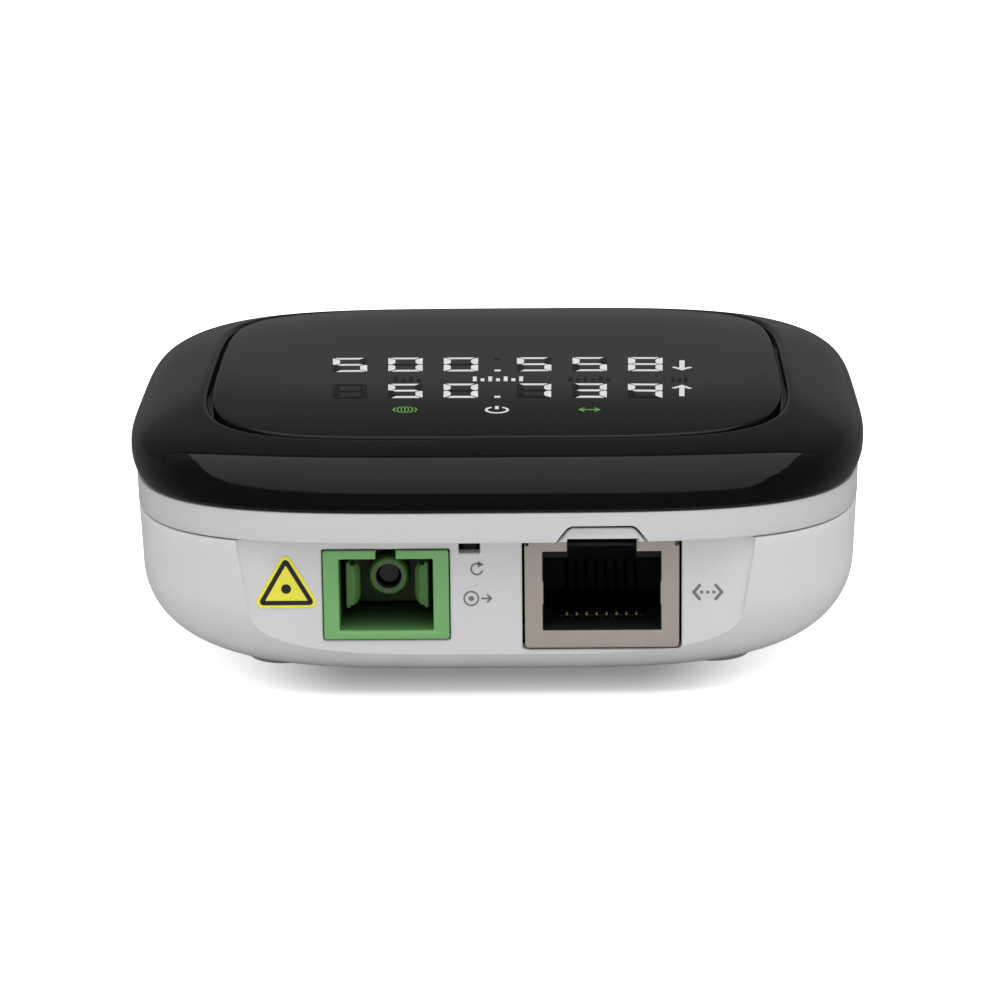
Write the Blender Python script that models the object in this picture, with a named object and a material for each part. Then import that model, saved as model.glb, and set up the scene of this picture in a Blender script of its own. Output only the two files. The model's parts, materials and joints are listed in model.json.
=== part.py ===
"""Optical network terminal for a desk: black gloss cover with a smoked display window, white collar and
bottom shell, an SC fibre port, an RJ45 port and a recessed reset pusher, and the boards inside.

Frame: +Z up, +X right and -Y towards someone facing the ports. The origin is on the ground, under the
middle of the body. All dimensions below are in millimetres, and are scaled to metres in new_object.
"""

from math import cos, pi, radians, sin

import bmesh
import bpy
from mathutils import Matrix, Vector

MM = 0.001
GAP = 0.3

# Body: a superellipse plan, POWER 4, whose size at each height is given as an inset from the widest ring.
WIDTH = 77.0
DEPTH = 68.5
POWER = 4.0
PLAN_POINTS = 48
BASE_Z = 0.8
SEAM_Z = 17.05
COVER_Z = 20.35
WIDEST_Z = 22.8
SHOULDER_Z = 26.55
CROWN = 1.4
CROWN_POWER = 5.0

# Outer wall of the cover as (inset, z) pairs, and its shoulder, which draws in faster sideways.
COVER_SIDE = [(0.45, COVER_Z), (0.12, COVER_Z + 0.7), (0.0, WIDEST_Z), (0.22, WIDEST_Z + 1.3)]
COVER_SHOULDER = [(1.0, 25.1), (2.4, 25.8), (4.3, 26.3)]
SHOULDER_SIDEWAYS = 1.18
COVER_WALL = 2.0

# Collar: a thin wall with a thicker foot that closes the top of the shell, and arms to four screw posts.
COLLAR_TOP = COVER_Z - 0.2
COLLAR_INSET_LOW = 0.55
COLLAR_INSET_TOP = 0.5
COLLAR_INNER = 2.4
COLLAR_FOOT = 4.1
COLLAR_FOOT_RISE = 1.4
POST_RADIUS = 3.0
ARM_HALF = 1.6
ARM_REACH = 35.2
PILOT_DEPTH = 6.1

# Snap tabs of the cover, inside the collar.
TAB_HALF = 5.0
TAB_OUTER = 4.5
TAB_INNER = 5.6

# Bottom edge rounding of the shell and its draft. The rounding reaches further in at the sides.
ROUND_ACROSS = 12.5
ROUND_SIDEWAYS = 1.25
ROUND_UP = 10.0
ROUND_POWER = 2.2
ROUND_STEPS = 6
WALL_INSET_TOP = 0.6
WALL_INSET_LOW = 0.85
WALL = 1.8
FLOOR = 1.6

# Port wall: the flat front of the shell, set back under the collar's lip.
PORT_FACE_Y = -31.2
PORT_WALL = 1.5
PORT_PROUD = 0.2

# Display window.
WINDOW_X = 30.1
WINDOW_Y = 27.8
WINDOW_POWER = 4.6
SHELF_Z = 25.2
TRAY = 1.2
APERTURE_X = 26.0
APERTURE_Y = 20.0

# Feet and case screws share four positions.
FOOT_X = 22.5
FOOT_Y = 16.0
FOOT_RADIUS = 4.0
FOOT_RECESS = 0.65
SCREW_RADIUS = 1.0
SCREW_HEAD_RADIUS = 2.0
SCREW_HEAD_BORE = 2.4
SCREW_HEAD_DEPTH = 2.2
BOSS_RADIUS = 3.2
BOSS_TOP = 13.2
LABEL_X = 15.0
LABEL_Y = 9.0

# Boards.
BOARD_Z = 3.9
BOARD = 1.2
BOARD_TOP = BOARD_Z + BOARD
PART_Z = BOARD_TOP + GAP
BOARD_SCREW_X = 25.6
BOARD_SCREW_Y = -4.0
BOARD_SCREW_TIP = 2.4
BOARD_BOSS_RADIUS = 2.4
BOARD_BOSS_LOW = 2.2
BOARD_X = 29.4
BOARD_Y = 26.4
PROCESSOR_PLACE = (-4.0, 8.0)
PROCESSOR_HEIGHT = 1.2
PAD_HEIGHT = 0.5

# Display stack under the window: board, light mask with two rows of digit wells, and diffuser.
DISPLAY_BOARD_Z = 21.0
DISPLAY_BOARD = 1.1
MASK_TOP = 24.4
DIGIT_ROWS = (-14.9, -4.3)
ROW_WELL_X = 22.0
ROW_WELL_Y = 3.4
SOCKET_HEIGHT = 2.0

# SC port.
SC_X = -11.1
SC_Z = 11.0
SC_WIDTH = 12.7
SC_HEIGHT = 9.35
SC_LENGTH = 13.0
SC_MOUTH_X = 9.3
SC_MOUTH_Z = 7.45
SC_KEY = 2.05
SLEEVE_OUT = 1.55
SLEEVE_IN = 1.25
NOSE_RADIUS = 2.3
NOSE_START = 6.6
SC_BACK = 1.3
SC_PLATE = 9.0
LATCH_X = 3.75
LATCH_HALF_THICK = 0.45
LATCH_HALF_TALL = 2.6
LATCH_TIP = 2.9
LATCH_HOOK = 0.5
BLOCK_HALF = 3.2
BLOCK_LENGTH = 8.0

# RJ45 port.
RJ_X = 10.7
RJ_Z = 11.05
RJ_WIDTH = 15.6
RJ_HEIGHT = 11.5
RJ_LENGTH = 21.5
RJ_SHEET = 0.3
RJ_MOUTH_X = 12.0
RJ_MOUTH_LOW = 7.1
RJ_MOUTH_HIGH = 15.45
RJ_NOTCH = 7.0
RJ_NOTCH_DROP = 0.9
RJ_PLUG_DEPTH = 13.5
CONTACTS = 8
CONTACT_PITCH = 1.016
CONTACT_DEPTH = 3.6
CONTACT_HINGE_Z = 7.9

# Relief in the collar's lip above the RJ45 latch: half widths, rise and depth from the widest front.
RELIEF_LOW = 4.7
RELIEF_HIGH = 3.2
RELIEF_RISE = 1.6
RELIEF_DEPTH = 2.3

# Reset pusher. Its back face is the given distance behind the port wall's front.
RESET_X = -2.65
RESET_WIDTH = 2.16
RESET_LOW = 15.2
PUSHER_HALF = 0.75
PUSHER_THICK = 1.1
PUSHER_BACK = 3.1
PUSHER_LOW = 1.0

# Warning-shaped sticker beside the SC port: a triangle with round corners.
STICKER_X = -21.2
STICKER_Z = 11.7
STICKER_REACH = 2.8
STICKER_CORNER = 0.62

FACE_Y = PORT_FACE_Y - PORT_PROUD


# ---------------------------------------------------------------- tools

def clear_scene():
    for obj in list(bpy.data.objects):
        bpy.data.objects.remove(obj, do_unlink=True)


def make_material(name, colour, roughness, metallic=0.0):
    material = bpy.data.materials.new(name)
    material.use_nodes = True
    shader = material.node_tree.nodes["Principled BSDF"]
    shader.inputs["Base Color"].default_value = (*colour, 1.0)
    shader.inputs["Roughness"].default_value = roughness
    shader.inputs["Metallic"].default_value = metallic
    material.diffuse_color = (*colour, 1.0)
    return material


def new_object(name, bm, material=None, origin=(0.0, 0.0, 0.0)):
    """Turns millimetre geometry into an object whose origin sits at the given point."""
    bmesh.ops.translate(bm, verts=bm.verts, vec=-Vector(origin))
    bmesh.ops.scale(bm, verts=bm.verts, vec=(MM, MM, MM))
    bmesh.ops.recalc_face_normals(bm, faces=bm.faces)
    mesh = bpy.data.meshes.new(name)
    bm.to_mesh(mesh)
    bm.free()
    obj = bpy.data.objects.new(name, mesh)
    obj.location = Vector(origin) * MM
    bpy.context.scene.collection.objects.link(obj)
    if material:
        mesh.materials.append(material)
    return obj


def middle(low, high):
    return (Vector(low) + Vector(high)) / 2


def box(name, low, high, material=None, bevel=0.0, origin=None):
    """A box between two corners, with an optional 45 degree edge."""
    bm = bmesh.new()
    size = Vector(high) - Vector(low)
    place = Matrix.Translation(middle(low, high)) @ Matrix.Diagonal((*size, 1.0))
    bmesh.ops.create_cube(bm, size=1.0, matrix=place)
    if bevel:
        bmesh.ops.bevel(bm, geom=bm.edges[:], offset=bevel, segments=1, affect="EDGES", profile=0.5)
    return new_object(name, bm, material, middle(low, high) if origin is None else origin)


def box_group(name, spans):
    """Separate boxes in one object, used as one cutter."""
    bm = bmesh.new()
    for low, high in spans:
        size = Vector(high) - Vector(low)
        place = Matrix.Translation(middle(low, high)) @ Matrix.Diagonal((*size, 1.0))
        bmesh.ops.create_cube(bm, size=1.0, matrix=place)
    return new_object(name, bm)


AXIS_TURN = {
    "X": Matrix.Rotation(radians(90), 4, "Y"),
    "Y": Matrix.Rotation(radians(-90), 4, "X"),
    "Z": Matrix.Identity(4),
}


def turned(name, start, axis, profile, material=None, points=20):
    """A solid of revolution: profile holds (distance along the axis, radius) pairs from end to end."""
    bm = bmesh.new()
    place = Matrix.Translation(start) @ AXIS_TURN[axis]
    rings = []
    for along, radius in profile:
        ring = []
        for i in range(points):
            angle = 2 * pi * i / points
            ring.append(bm.verts.new(place @ Vector((radius * cos(angle), radius * sin(angle), along))))
        rings.append(ring)
    bridge(bm, rings)
    bm.faces.new(rings[0])
    bm.faces.new(rings[-1])
    return new_object(name, bm, material, start)


def cylinder(name, start, axis, length, radius, material=None, points=20):
    return turned(name, start, axis, [(0.0, radius), (length, radius)], material, points)


def bridge(bm, rings, closed=False):
    pairs = list(zip(rings, rings[1:]))
    if closed:
        pairs.append((rings[-1], rings[0]))
    for low, high in pairs:
        count = len(low)
        for i in range(count):
            j = (i + 1) % count
            bm.faces.new((low[i], low[j], high[j], high[i]))


def loft(name, rings, material=None, closed=False):
    """Joins rings of points into a solid. A closed loft is a tube, and an open one is capped at both ends."""
    bm = bmesh.new()
    loops = [[bm.verts.new(point) for point in ring] for ring in rings]
    bridge(bm, loops, closed)
    if not closed:
        bm.faces.new(loops[0])
        bm.faces.new(loops[-1])
    bmesh.ops.recalc_face_normals(bm, faces=bm.faces)
    bmesh.ops.dissolve_limit(bm, angle_limit=radians(0.02), verts=bm.verts, edges=bm.edges)
    return new_object(name, bm, material)


def prism(name, outline, axis, start, length, material=None, origin=(0.0, 0.0, 0.0)):
    """Extrudes a flat outline. For axis Y the outline holds (x, z), for X it holds (y, z), for Z (x, y)."""
    spread = {
        "X": lambda u, v, w: (w, u, v),
        "Y": lambda u, v, w: (u, w, v),
        "Z": lambda u, v, w: (u, v, w),
    }[axis]
    bm = bmesh.new()
    near = [bm.verts.new(spread(u, v, start)) for u, v in outline]
    far = [bm.verts.new(spread(u, v, start + length)) for u, v in outline]
    bridge(bm, [near, far])
    bm.faces.new(near)
    bm.faces.new(far)
    return new_object(name, bm, material, origin)


def boolean(obj, other, operation):
    other.hide_render = True
    other.display_type = "WIRE"
    modifier = obj.modifiers.new(f"{operation.lower()}_{other.name}", "BOOLEAN")
    modifier.operation = operation
    modifier.solver = "EXACT"
    modifier.object = other


def cut(obj, other):
    boolean(obj, other, "DIFFERENCE")


def add(obj, other):
    boolean(obj, other, "UNION")


def plan_ring(half_x, half_y, power, z, front=None):
    """A superellipse ring. Points in front of the plane y = front are moved back onto it."""
    ring = []
    for i in range(PLAN_POINTS):
        angle = 2 * pi * (i + 0.5) / PLAN_POINTS
        c, s = cos(angle), sin(angle)
        radius = (abs(c / half_x) ** power + abs(s / half_y) ** power) ** (-1 / power)
        y = radius * s
        if front is not None:
            y = max(y, front)
        ring.append((radius * c, y, z))
    return ring


def body_ring(inset, z, front=None):
    return plan_ring(WIDTH / 2 - inset, DEPTH / 2 - inset, POWER, z, front)


def rounded_ring(wall_inset, inset, z, front):
    """A ring of the rounded bottom, which draws in faster sideways than it does from front to back."""
    sideways = wall_inset + ROUND_SIDEWAYS * (inset - wall_inset)
    return plan_ring(WIDTH / 2 - sideways, DEPTH / 2 - inset, POWER, z, front)


def rounding(inset, z_start, across, up):
    """(inset, z) pairs down a superelliptic quarter, from the vertical wall to the flat base."""
    pairs = []
    for k in range(ROUND_STEPS + 1):
        angle = k / ROUND_STEPS * pi / 2
        pairs.append((
            inset + across * (1 - max(cos(angle), 0.0) ** (2 / ROUND_POWER)),
            z_start - up * sin(angle) ** (2 / ROUND_POWER),
        ))
    return pairs


def rounded_outline(low, high, radius, steps=4):
    """A rectangle with round corners, anticlockwise."""
    points = []
    corners = [(high[0], high[1], 0), (low[0], high[1], 1), (low[0], low[1], 2), (high[0], low[1], 3)]
    for x, y, quarter in corners:
        centre_x = x - radius if x == high[0] else x + radius
        centre_y = y - radius if y == high[1] else y + radius
        for k in range(steps + 1):
            angle = (quarter + k / steps) * pi / 2
            points.append((centre_x + radius * cos(angle), centre_y + radius * sin(angle)))
    return points


def strip_outline(path, thickness):
    """The outline of a bent strip that follows a path of (u, v) points."""
    left, right = [], []
    for i, point in enumerate(path):
        before = Vector(path[max(i - 1, 0)])
        after = Vector(path[min(i + 1, len(path) - 1)])
        along = (after - before).normalized()
        side = Vector((-along.y, along.x)) * thickness / 2
        left.append(tuple(Vector(point) + side))
        right.append(tuple(Vector(point) - side))
    return left + right[::-1]


def four_corners():
    return [(x, y) for y in (-FOOT_Y, FOOT_Y) for x in (-FOOT_X, FOOT_X)]


# ---------------------------------------------------------------- casing

def bottom_shell(material):
    wall_start = BASE_Z + ROUND_UP
    back_y = PORT_FACE_Y + PORT_WALL
    low, high = WALL_INSET_LOW, WALL_INSET_TOP
    outer = rounding(low, wall_start, ROUND_ACROSS, ROUND_UP)[::-1]
    inner = rounding(low + WALL, wall_start, ROUND_ACROSS - FLOOR, ROUND_UP - FLOOR)
    rings = [rounded_ring(low, inset, z, PORT_FACE_Y) for inset, z in outer]
    rings += [body_ring(high, SEAM_Z - GAP, PORT_FACE_Y), body_ring(high + WALL, SEAM_Z - GAP, back_y)]
    rings += [rounded_ring(low + WALL, inset, z, back_y) for inset, z in inner]
    shell = loft("bottom_shell", rings, material)
    boss_low = BASE_Z + FLOOR / 2
    bore_start = BASE_Z - 0.5
    foot_end = BASE_Z + FOOT_RECESS - bore_start
    head_end = BASE_Z + FOOT_RECESS + SCREW_HEAD_DEPTH - bore_start
    bore = [(0.0, FOOT_RADIUS + GAP), (foot_end, FOOT_RADIUS + GAP), (foot_end, SCREW_HEAD_BORE)]
    bore += [(head_end, SCREW_HEAD_BORE), (head_end, SCREW_RADIUS + GAP)]
    bore += [(BOSS_TOP + 1.0, SCREW_RADIUS + GAP)]
    for i, (x, y) in enumerate(four_corners()):
        add(shell, cylinder(f"boss_{i}", (x, y, boss_low), "Z", BOSS_TOP - boss_low, BOSS_RADIUS))
        cut(shell, turned(f"bore_{i}", (x, y, bore_start), "Z", bore))
    for side in (-1, 1):
        start = (side * BOARD_SCREW_X, BOARD_SCREW_Y, BOARD_BOSS_LOW)
        height = BOARD_Z - GAP - BOARD_BOSS_LOW
        add(shell, cylinder(f"board_boss_{side}", start, "Z", height, BOARD_BOSS_RADIUS))
        cut(shell, cylinder(f"board_bore_{side}", start, "Z", height + 1.0, 1.0))
    label = (LABEL_X + GAP, LABEL_Y + GAP)
    cut(shell, box("label_recess", (-label[0], -label[1], 0.0), (label[0], label[1], BASE_Z + 0.5)))
    cut(shell, sticker_prism("sticker_recess", GAP, PORT_FACE_Y - 1.0, 1.0 + GAP))
    cut(shell, port_openings())
    return shell


def port_openings():
    """One cutter for the port wall. The RJ45 opening and the reset slot run out under the collar."""
    front, back, top = PORT_FACE_Y - 1.0, PORT_FACE_Y + 3.3, SEAM_Z + 1.0
    sc_half = (SC_WIDTH / 2 + GAP, SC_HEIGHT / 2 + GAP)
    rj_half = RJ_WIDTH / 2 + GAP
    reset_half = RESET_WIDTH / 2
    return box_group("port_cut", [
        ((SC_X - sc_half[0], front, SC_Z - sc_half[1]), (SC_X + sc_half[0], back, SC_Z + sc_half[1])),
        ((RJ_X - rj_half, front, RJ_Z - RJ_HEIGHT / 2 - GAP), (RJ_X + rj_half, back, top)),
        ((RESET_X - reset_half, front, RESET_LOW), (RESET_X + reset_half, back, top)),
    ])


def collar(material):
    """The white mid band. Its front overhangs the port wall as a lip, relieved over the RJ45 latch."""
    foot_top = SEAM_Z + COLLAR_FOOT_RISE
    profile = [(COLLAR_INSET_LOW, SEAM_Z), (COLLAR_INSET_TOP, COLLAR_TOP), (COLLAR_INNER, COLLAR_TOP)]
    profile += [(COLLAR_INNER, foot_top + 0.6), (COLLAR_FOOT, foot_top), (COLLAR_FOOT, SEAM_Z)]
    ring = loft("mid_collar", [body_ring(inset, z) for inset, z in profile], material, closed=True)
    post_low, post_high = BOSS_TOP + GAP, COLLAR_TOP - 0.1
    arm_low, arm_high = SEAM_Z + 0.3, COLLAR_TOP - 0.2
    for i, (x, y) in enumerate(four_corners()):
        ends = sorted((x, ARM_REACH if x > 0 else -ARM_REACH))
        add(ring, cylinder(f"post_{i}", (x, y, post_low), "Z", post_high - post_low, POST_RADIUS))
        add(ring, box(f"arm_{i}", (ends[0], y - ARM_HALF, arm_low), (ends[1], y + ARM_HALF, arm_high)))
        cut(ring, cylinder(f"pilot_{i}", (x, y, post_low - 1.0), "Z", PILOT_DEPTH, SCREW_RADIUS + GAP))
    half = [(RELIEF_LOW, -1.0), (RELIEF_LOW, 0.0), (RELIEF_HIGH + 0.55, 1.35), (RELIEF_HIGH, RELIEF_RISE)]
    relief = [(RJ_X + x, SEAM_Z + z) for x, z in half]
    relief += [(RJ_X - x, SEAM_Z + z) for x, z in reversed(half)]
    cut(ring, prism("latch_relief", relief, "Y", -DEPTH / 2 - 1.0, RELIEF_DEPTH + 1.0))
    return ring


def top_cover(material):
    """A ring-shaped shell with a tray for the window and four snap tabs that reach inside the collar."""
    rings = [body_ring(inset, z) for inset, z in COVER_SIDE]
    for inset, z in COVER_SHOULDER:
        half_x = WIDTH / 2 - SHOULDER_SIDEWAYS * inset
        rings.append(plan_ring(half_x, DEPTH / 2 - inset, POWER + inset / 8, z))
    for z in (SHOULDER_Z, SHELF_Z):
        rings.append(plan_ring(WINDOW_X + GAP, WINDOW_Y + GAP, WINDOW_POWER, z))
    for z in (SHELF_Z, SHELF_Z - TRAY):
        rings.append(plan_ring(APERTURE_X, APERTURE_Y, 8.0, z))
    inner = [(4.3, SHELF_Z - TRAY), (COVER_WALL + 0.2, WIDEST_Z), (COVER_WALL, COVER_Z)]
    rings += [body_ring(inset, z) for inset, z in inner]
    cover = loft("top_cover", rings, material, closed=True)
    low, high = SEAM_Z + 1.7, SHELF_Z - TRAY + 0.3
    for side in (-1, 1):
        near, far = sorted((side * (DEPTH / 2 - TAB_INNER), side * (DEPTH / 2 - TAB_OUTER)))
        add(cover, box(f"tab_y_{side}", (-TAB_HALF, near, low), (TAB_HALF, far, high)))
        near, far = sorted((side * (WIDTH / 2 - TAB_INNER), side * (WIDTH / 2 - TAB_OUTER)))
        add(cover, box(f"tab_x_{side}", (near, -TAB_HALF, low), (far, TAB_HALF, high)))
    return cover


def display_window(material):
    bottom = SHELF_Z + GAP
    rings = [plan_ring(WINDOW_X, WINDOW_Y, WINDOW_POWER, z) for z in (bottom, SHOULDER_Z - 0.15)]
    for scale in (0.99, 0.9, 0.75, 0.5, 0.2):
        z = SHOULDER_Z + CROWN * (1 - scale**CROWN_POWER)
        rings.append(plan_ring(WINDOW_X * scale, WINDOW_Y * scale, WINDOW_POWER, z))
    return loft("display_window", rings, material)


def feet_and_screws(rubber, steel):
    for i, (x, y) in enumerate(four_corners(), 1):
        top = BASE_Z + FOOT_RECESS - GAP
        profile = [(0.0, FOOT_RADIUS - 0.4), (0.35, FOOT_RADIUS), (top, FOOT_RADIUS)]
        turned(f"rubber_foot_{i}", (x, y, 0.0), "Z", profile, rubber, 24)
        head, wide = BASE_Z + FOOT_RECESS + GAP, SCREW_HEAD_RADIUS
        profile = [(0.0, wide - 0.5), (0.35, wide), (1.5, wide), (1.5, SCREW_RADIUS)]
        profile += [(15.6, SCREW_RADIUS), (16.2, SCREW_RADIUS / 2)]
        screw = turned(f"case_screw_{i}", (x, y, head), "Z", profile, steel)
        cross_recess(screw, x, y, head - 1.0, head + 0.8, 1.1)


def cross_recess(screw, x, y, low, high, reach):
    """Cuts a cross-head drive between two heights."""
    for k, (wide, deep) in enumerate([(reach, 0.3), (0.3, reach)]):
        cutter = box(f"drive_{screw.name}_{k}", (x - wide, y - deep, low), (x + wide, y + deep, high))
        cut(screw, cutter)


def base_label(material):
    outline = rounded_outline((-LABEL_X, -LABEL_Y), (LABEL_X, LABEL_Y), 1.5)
    return prism("base_label", outline, "Z", BASE_Z, 0.2, material, (0.0, 0.0, BASE_Z))


def sticker_prism(name, margin, start, depth, material=None):
    """A triangle with round corners, standing on the port wall."""
    centre = Vector((STICKER_X, STICKER_Z))
    radius = STICKER_CORNER + margin
    points = []
    for corner in range(3):
        middle_angle = radians(90 + 120 * corner)
        tip = centre + Vector((cos(middle_angle), sin(middle_angle))) * STICKER_REACH
        for k in range(5):
            angle = middle_angle + radians(-60 + 30 * k)
            points.append(tuple(tip + Vector((cos(angle), sin(angle))) * radius))
    return prism(name, points, "Y", start, depth, material)


# ---------------------------------------------------------------- SC port

def sc_port(green, holder, ceramic, metal, gold_metal, flex):
    low = Vector((SC_X - SC_WIDTH / 2, FACE_Y, SC_Z - SC_HEIGHT / 2))
    high = Vector((SC_X + SC_WIDTH / 2, FACE_Y + SC_LENGTH, SC_Z + SC_HEIGHT / 2))
    body = box("sc_housing", low, high, green, bevel=0.25)
    half_x, half_z = SC_MOUTH_X / 2, SC_MOUTH_Z / 2
    back = FACE_Y + SC_LENGTH - SC_BACK
    cut(body, box("sc_mouth", (SC_X - half_x, FACE_Y - 1, SC_Z - half_z), (SC_X + half_x, back, SC_Z + half_z)))
    cut(body, box("sc_key", (SC_X - SC_KEY / 2, FACE_Y - 1, SC_Z), (SC_X + SC_KEY / 2, FACE_Y + 6, SC_Z + 9)))
    cut(body, cylinder("sc_back_hole", (SC_X, back - 1, SC_Z), "Y", 4.0, NOSE_RADIUS))

    plate_front = FACE_Y + SC_PLATE
    low = (SC_X - half_x + GAP, plate_front, SC_Z - half_z + GAP)
    high = (SC_X + half_x - GAP, back - GAP, SC_Z + half_z - GAP)
    plate = box("sc_latch_holder", low, high, holder, bevel=0.15)
    nose_y = FACE_Y + NOSE_START
    add(plate, cylinder("sc_nose", (SC_X, nose_y, SC_Z), "Y", 3.6, NOSE_RADIUS))
    cut(plate, cylinder("sc_nose_bore", (SC_X, nose_y - 1.0, SC_Z), "Y", 8.0, SLEEVE_OUT + 0.2))

    sleeve = cylinder("ceramic_sleeve", (SC_X, nose_y + GAP, SC_Z), "Y", 4.3, SLEEVE_OUT, ceramic)
    cut(sleeve, cylinder("sleeve_bore", (SC_X, FACE_Y + 5.0, SC_Z), "Y", 9.0, SLEEVE_IN))
    cut(sleeve, box("sleeve_slit", (SC_X - 0.15, FACE_Y + 5, SC_Z), (SC_X + 0.15, FACE_Y + 13, SC_Z + 3)))

    for side, name in ((-1, "sc_latch_left"), (1, "sc_latch_right")):
        root = Vector((SC_X + side * LATCH_X, plate_front - GAP, SC_Z))
        sc_latch(name, side, root, holder)

    stub = [(0.0, 1.0), (0.3, 1.2), (4.2, 1.2), (4.2, 1.9), (5.4, 1.9)]
    turned("fibre_stub", (SC_X, FACE_Y + 8.0, SC_Z), "Y", stub, ceramic)
    block_y = FACE_Y + SC_LENGTH + 0.7
    can_y = block_y + BLOCK_LENGTH + GAP
    low = (SC_X - BLOCK_HALF, block_y, SC_Z - BLOCK_HALF)
    high = (SC_X + BLOCK_HALF, block_y + BLOCK_LENGTH, SC_Z + BLOCK_HALF)
    box("transceiver_block", low, high, metal, bevel=0.4)
    can = [(0.0, 2.8), (0.6, 2.8), (0.6, 2.35), (3.6, 2.35), (3.9, 2.1)]
    turned("laser_can", (SC_X, can_y, SC_Z), "Y", can, gold_metal)
    turned("receiver_can", (SC_X + BLOCK_HALF + GAP, block_y + BLOCK_LENGTH / 2, SC_Z), "X", can, gold_metal)
    start = can_y + can[-1][0] + GAP
    path = [(start, SC_Z + 2.0), (start, SC_Z - 2.6), (start + 0.5, PART_Z + 1.5), (start + 1.6, PART_Z + 0.4)]
    path += [(start + 3.0, PART_Z + 0.2)]
    prism("transceiver_flex", strip_outline(path, 0.35), "X", SC_X - 2.2, 4.4, flex, (SC_X, start, SC_Z))


def sc_latch(name, side, root, material):
    """A spring arm with an inward hook at its tip. Its origin is on the bending axis at its root."""
    tip = FACE_Y + LATCH_TIP
    outer, inner = root.x + side * LATCH_HALF_THICK, root.x - side * LATCH_HALF_THICK
    hook = inner - side * LATCH_HOOK
    outline = [(inner, root.y), (outer, root.y), (outer, tip), (inner, tip)]
    outline += [(hook, tip + 0.9), (hook, tip + 1.7), (inner, tip + 2.1)]
    prism(name, outline, "Z", SC_Z - LATCH_HALF_TALL, 2 * LATCH_HALF_TALL, material, root)


# ---------------------------------------------------------------- RJ45 port

def rj45_port(nickel, black, gold):
    low = Vector((RJ_X - RJ_WIDTH / 2, FACE_Y, RJ_Z - RJ_HEIGHT / 2))
    high = Vector((RJ_X + RJ_WIDTH / 2, FACE_Y + RJ_LENGTH, RJ_Z + RJ_HEIGHT / 2))
    sheet = Vector((RJ_SHEET, RJ_SHEET, RJ_SHEET))
    shield = box("rj45_shield", low, high, nickel, bevel=0.2)
    inside = box("shield_inside", (low + sheet) - Vector((0, 0, 2.0)), high - sheet)
    cut(shield, inside)
    for cutter in rj45_mouth("shield", 0.0, FACE_Y - 1.0, FACE_Y + 1.0):
        cut(shield, cutter)

    space = sheet + Vector((GAP, GAP, GAP))
    insert = box("rj45_insert", low + space, high - space, black, bevel=0.15)
    for cutter in rj45_mouth("insert", 0.1, FACE_Y, FACE_Y + RJ_PLUG_DEPTH):
        cut(insert, cutter)

    for i in range(CONTACTS):
        x = RJ_X + (i - (CONTACTS - 1) / 2) * CONTACT_PITCH
        rj45_contact(f"rj45_contact_{i + 1}", x, gold)


def rj45_mouth(name, margin, start, end):
    """Cutters for the plug opening and the latch notch above it."""
    half = RJ_MOUTH_X / 2 - margin
    notch = RJ_NOTCH / 2 - margin
    low, high = RJ_MOUTH_LOW + margin, RJ_MOUTH_HIGH - margin
    top = RJ_Z + RJ_HEIGHT / 2 - RJ_NOTCH_DROP
    return [
        box(f"{name}_mouth", (RJ_X - half, start, low), (RJ_X + half, end, high)),
        box(f"{name}_notch", (RJ_X - notch, start, high - 1.0), (RJ_X + notch, end, top)),
    ]


def rj45_contact(name, x, material):
    """A spring wire that rises from its front bend towards the back. Its origin is on the bend's axis."""
    hinge_y, hinge_z = FACE_Y + CONTACT_DEPTH, CONTACT_HINGE_Z
    path = [(hinge_y + 0.9, hinge_z - 0.25), (hinge_y + 0.2, hinge_z - 0.22), (hinge_y - 0.12, hinge_z)]
    path += [(hinge_y + 0.2, hinge_z + 0.25), (hinge_y + 4.0, hinge_z + 2.1), (hinge_y + 7.6, hinge_z + 3.2)]
    path += [(hinge_y + 8.6, hinge_z + 3.1)]
    prism(name, strip_outline(path, 0.3), "X", x - 0.2, 0.4, material, (x, hinge_y, hinge_z))


# ---------------------------------------------------------------- reset

def reset(dark, steel):
    """A pusher behind the slot carries the push down to a switch on the main board."""
    back = PORT_FACE_Y + PUSHER_BACK
    low_z = PART_Z + PUSHER_LOW
    low = (RESET_X - PUSHER_HALF, back - PUSHER_THICK, low_z)
    high = (RESET_X + PUSHER_HALF, back, SEAM_Z - 0.45)
    pusher = box("reset_pusher", low, high, dark, 0.1)
    low, high = (RESET_X - 0.6, back - 0.5, low_z + 0.2), (RESET_X + 0.6, back + 2.2, low_z + 1.5)
    add(pusher, box("pusher_pin", low, high))
    front = back + 2.9
    low, high = (RESET_X - 1.8, front, PART_Z), (RESET_X + 1.8, front + 3.0, PART_Z + 3.5)
    box("reset_switch", low, high, steel, 0.2)


# ---------------------------------------------------------------- boards and parts

def main_board(green, steel):
    board = loft("main_board", [plan_ring(BOARD_X, BOARD_Y, POWER, z) for z in (BOARD_Z, BOARD_TOP)], green)
    for i, (x, y) in enumerate(four_corners()):
        cut(board, cylinder(f"board_hole_{i}", (x, y, BOARD_Z - 1), "Z", 4.0, BOSS_RADIUS + GAP))
    for i, side in enumerate((-1, 1), 1):
        x = side * BOARD_SCREW_X
        cut(board, cylinder(f"screw_hole_{i}", (x, BOARD_SCREW_Y, BOARD_Z - 1), "Z", 4.0, 1.1))
        shank = BOARD_TOP + GAP - BOARD_SCREW_TIP
        profile = [(0.0, 0.3), (0.4, 0.7), (shank, 0.7), (shank, 1.6), (shank + 0.8, 1.6), (shank + 1.1, 1.1)]
        screw = turned(f"board_screw_{i}", (x, BOARD_SCREW_Y, BOARD_SCREW_TIP), "Z", profile, steel)
        cross_recess(screw, x, BOARD_SCREW_Y, BOARD_TOP + 0.9, BOARD_TOP + 3.0, 0.8)


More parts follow.
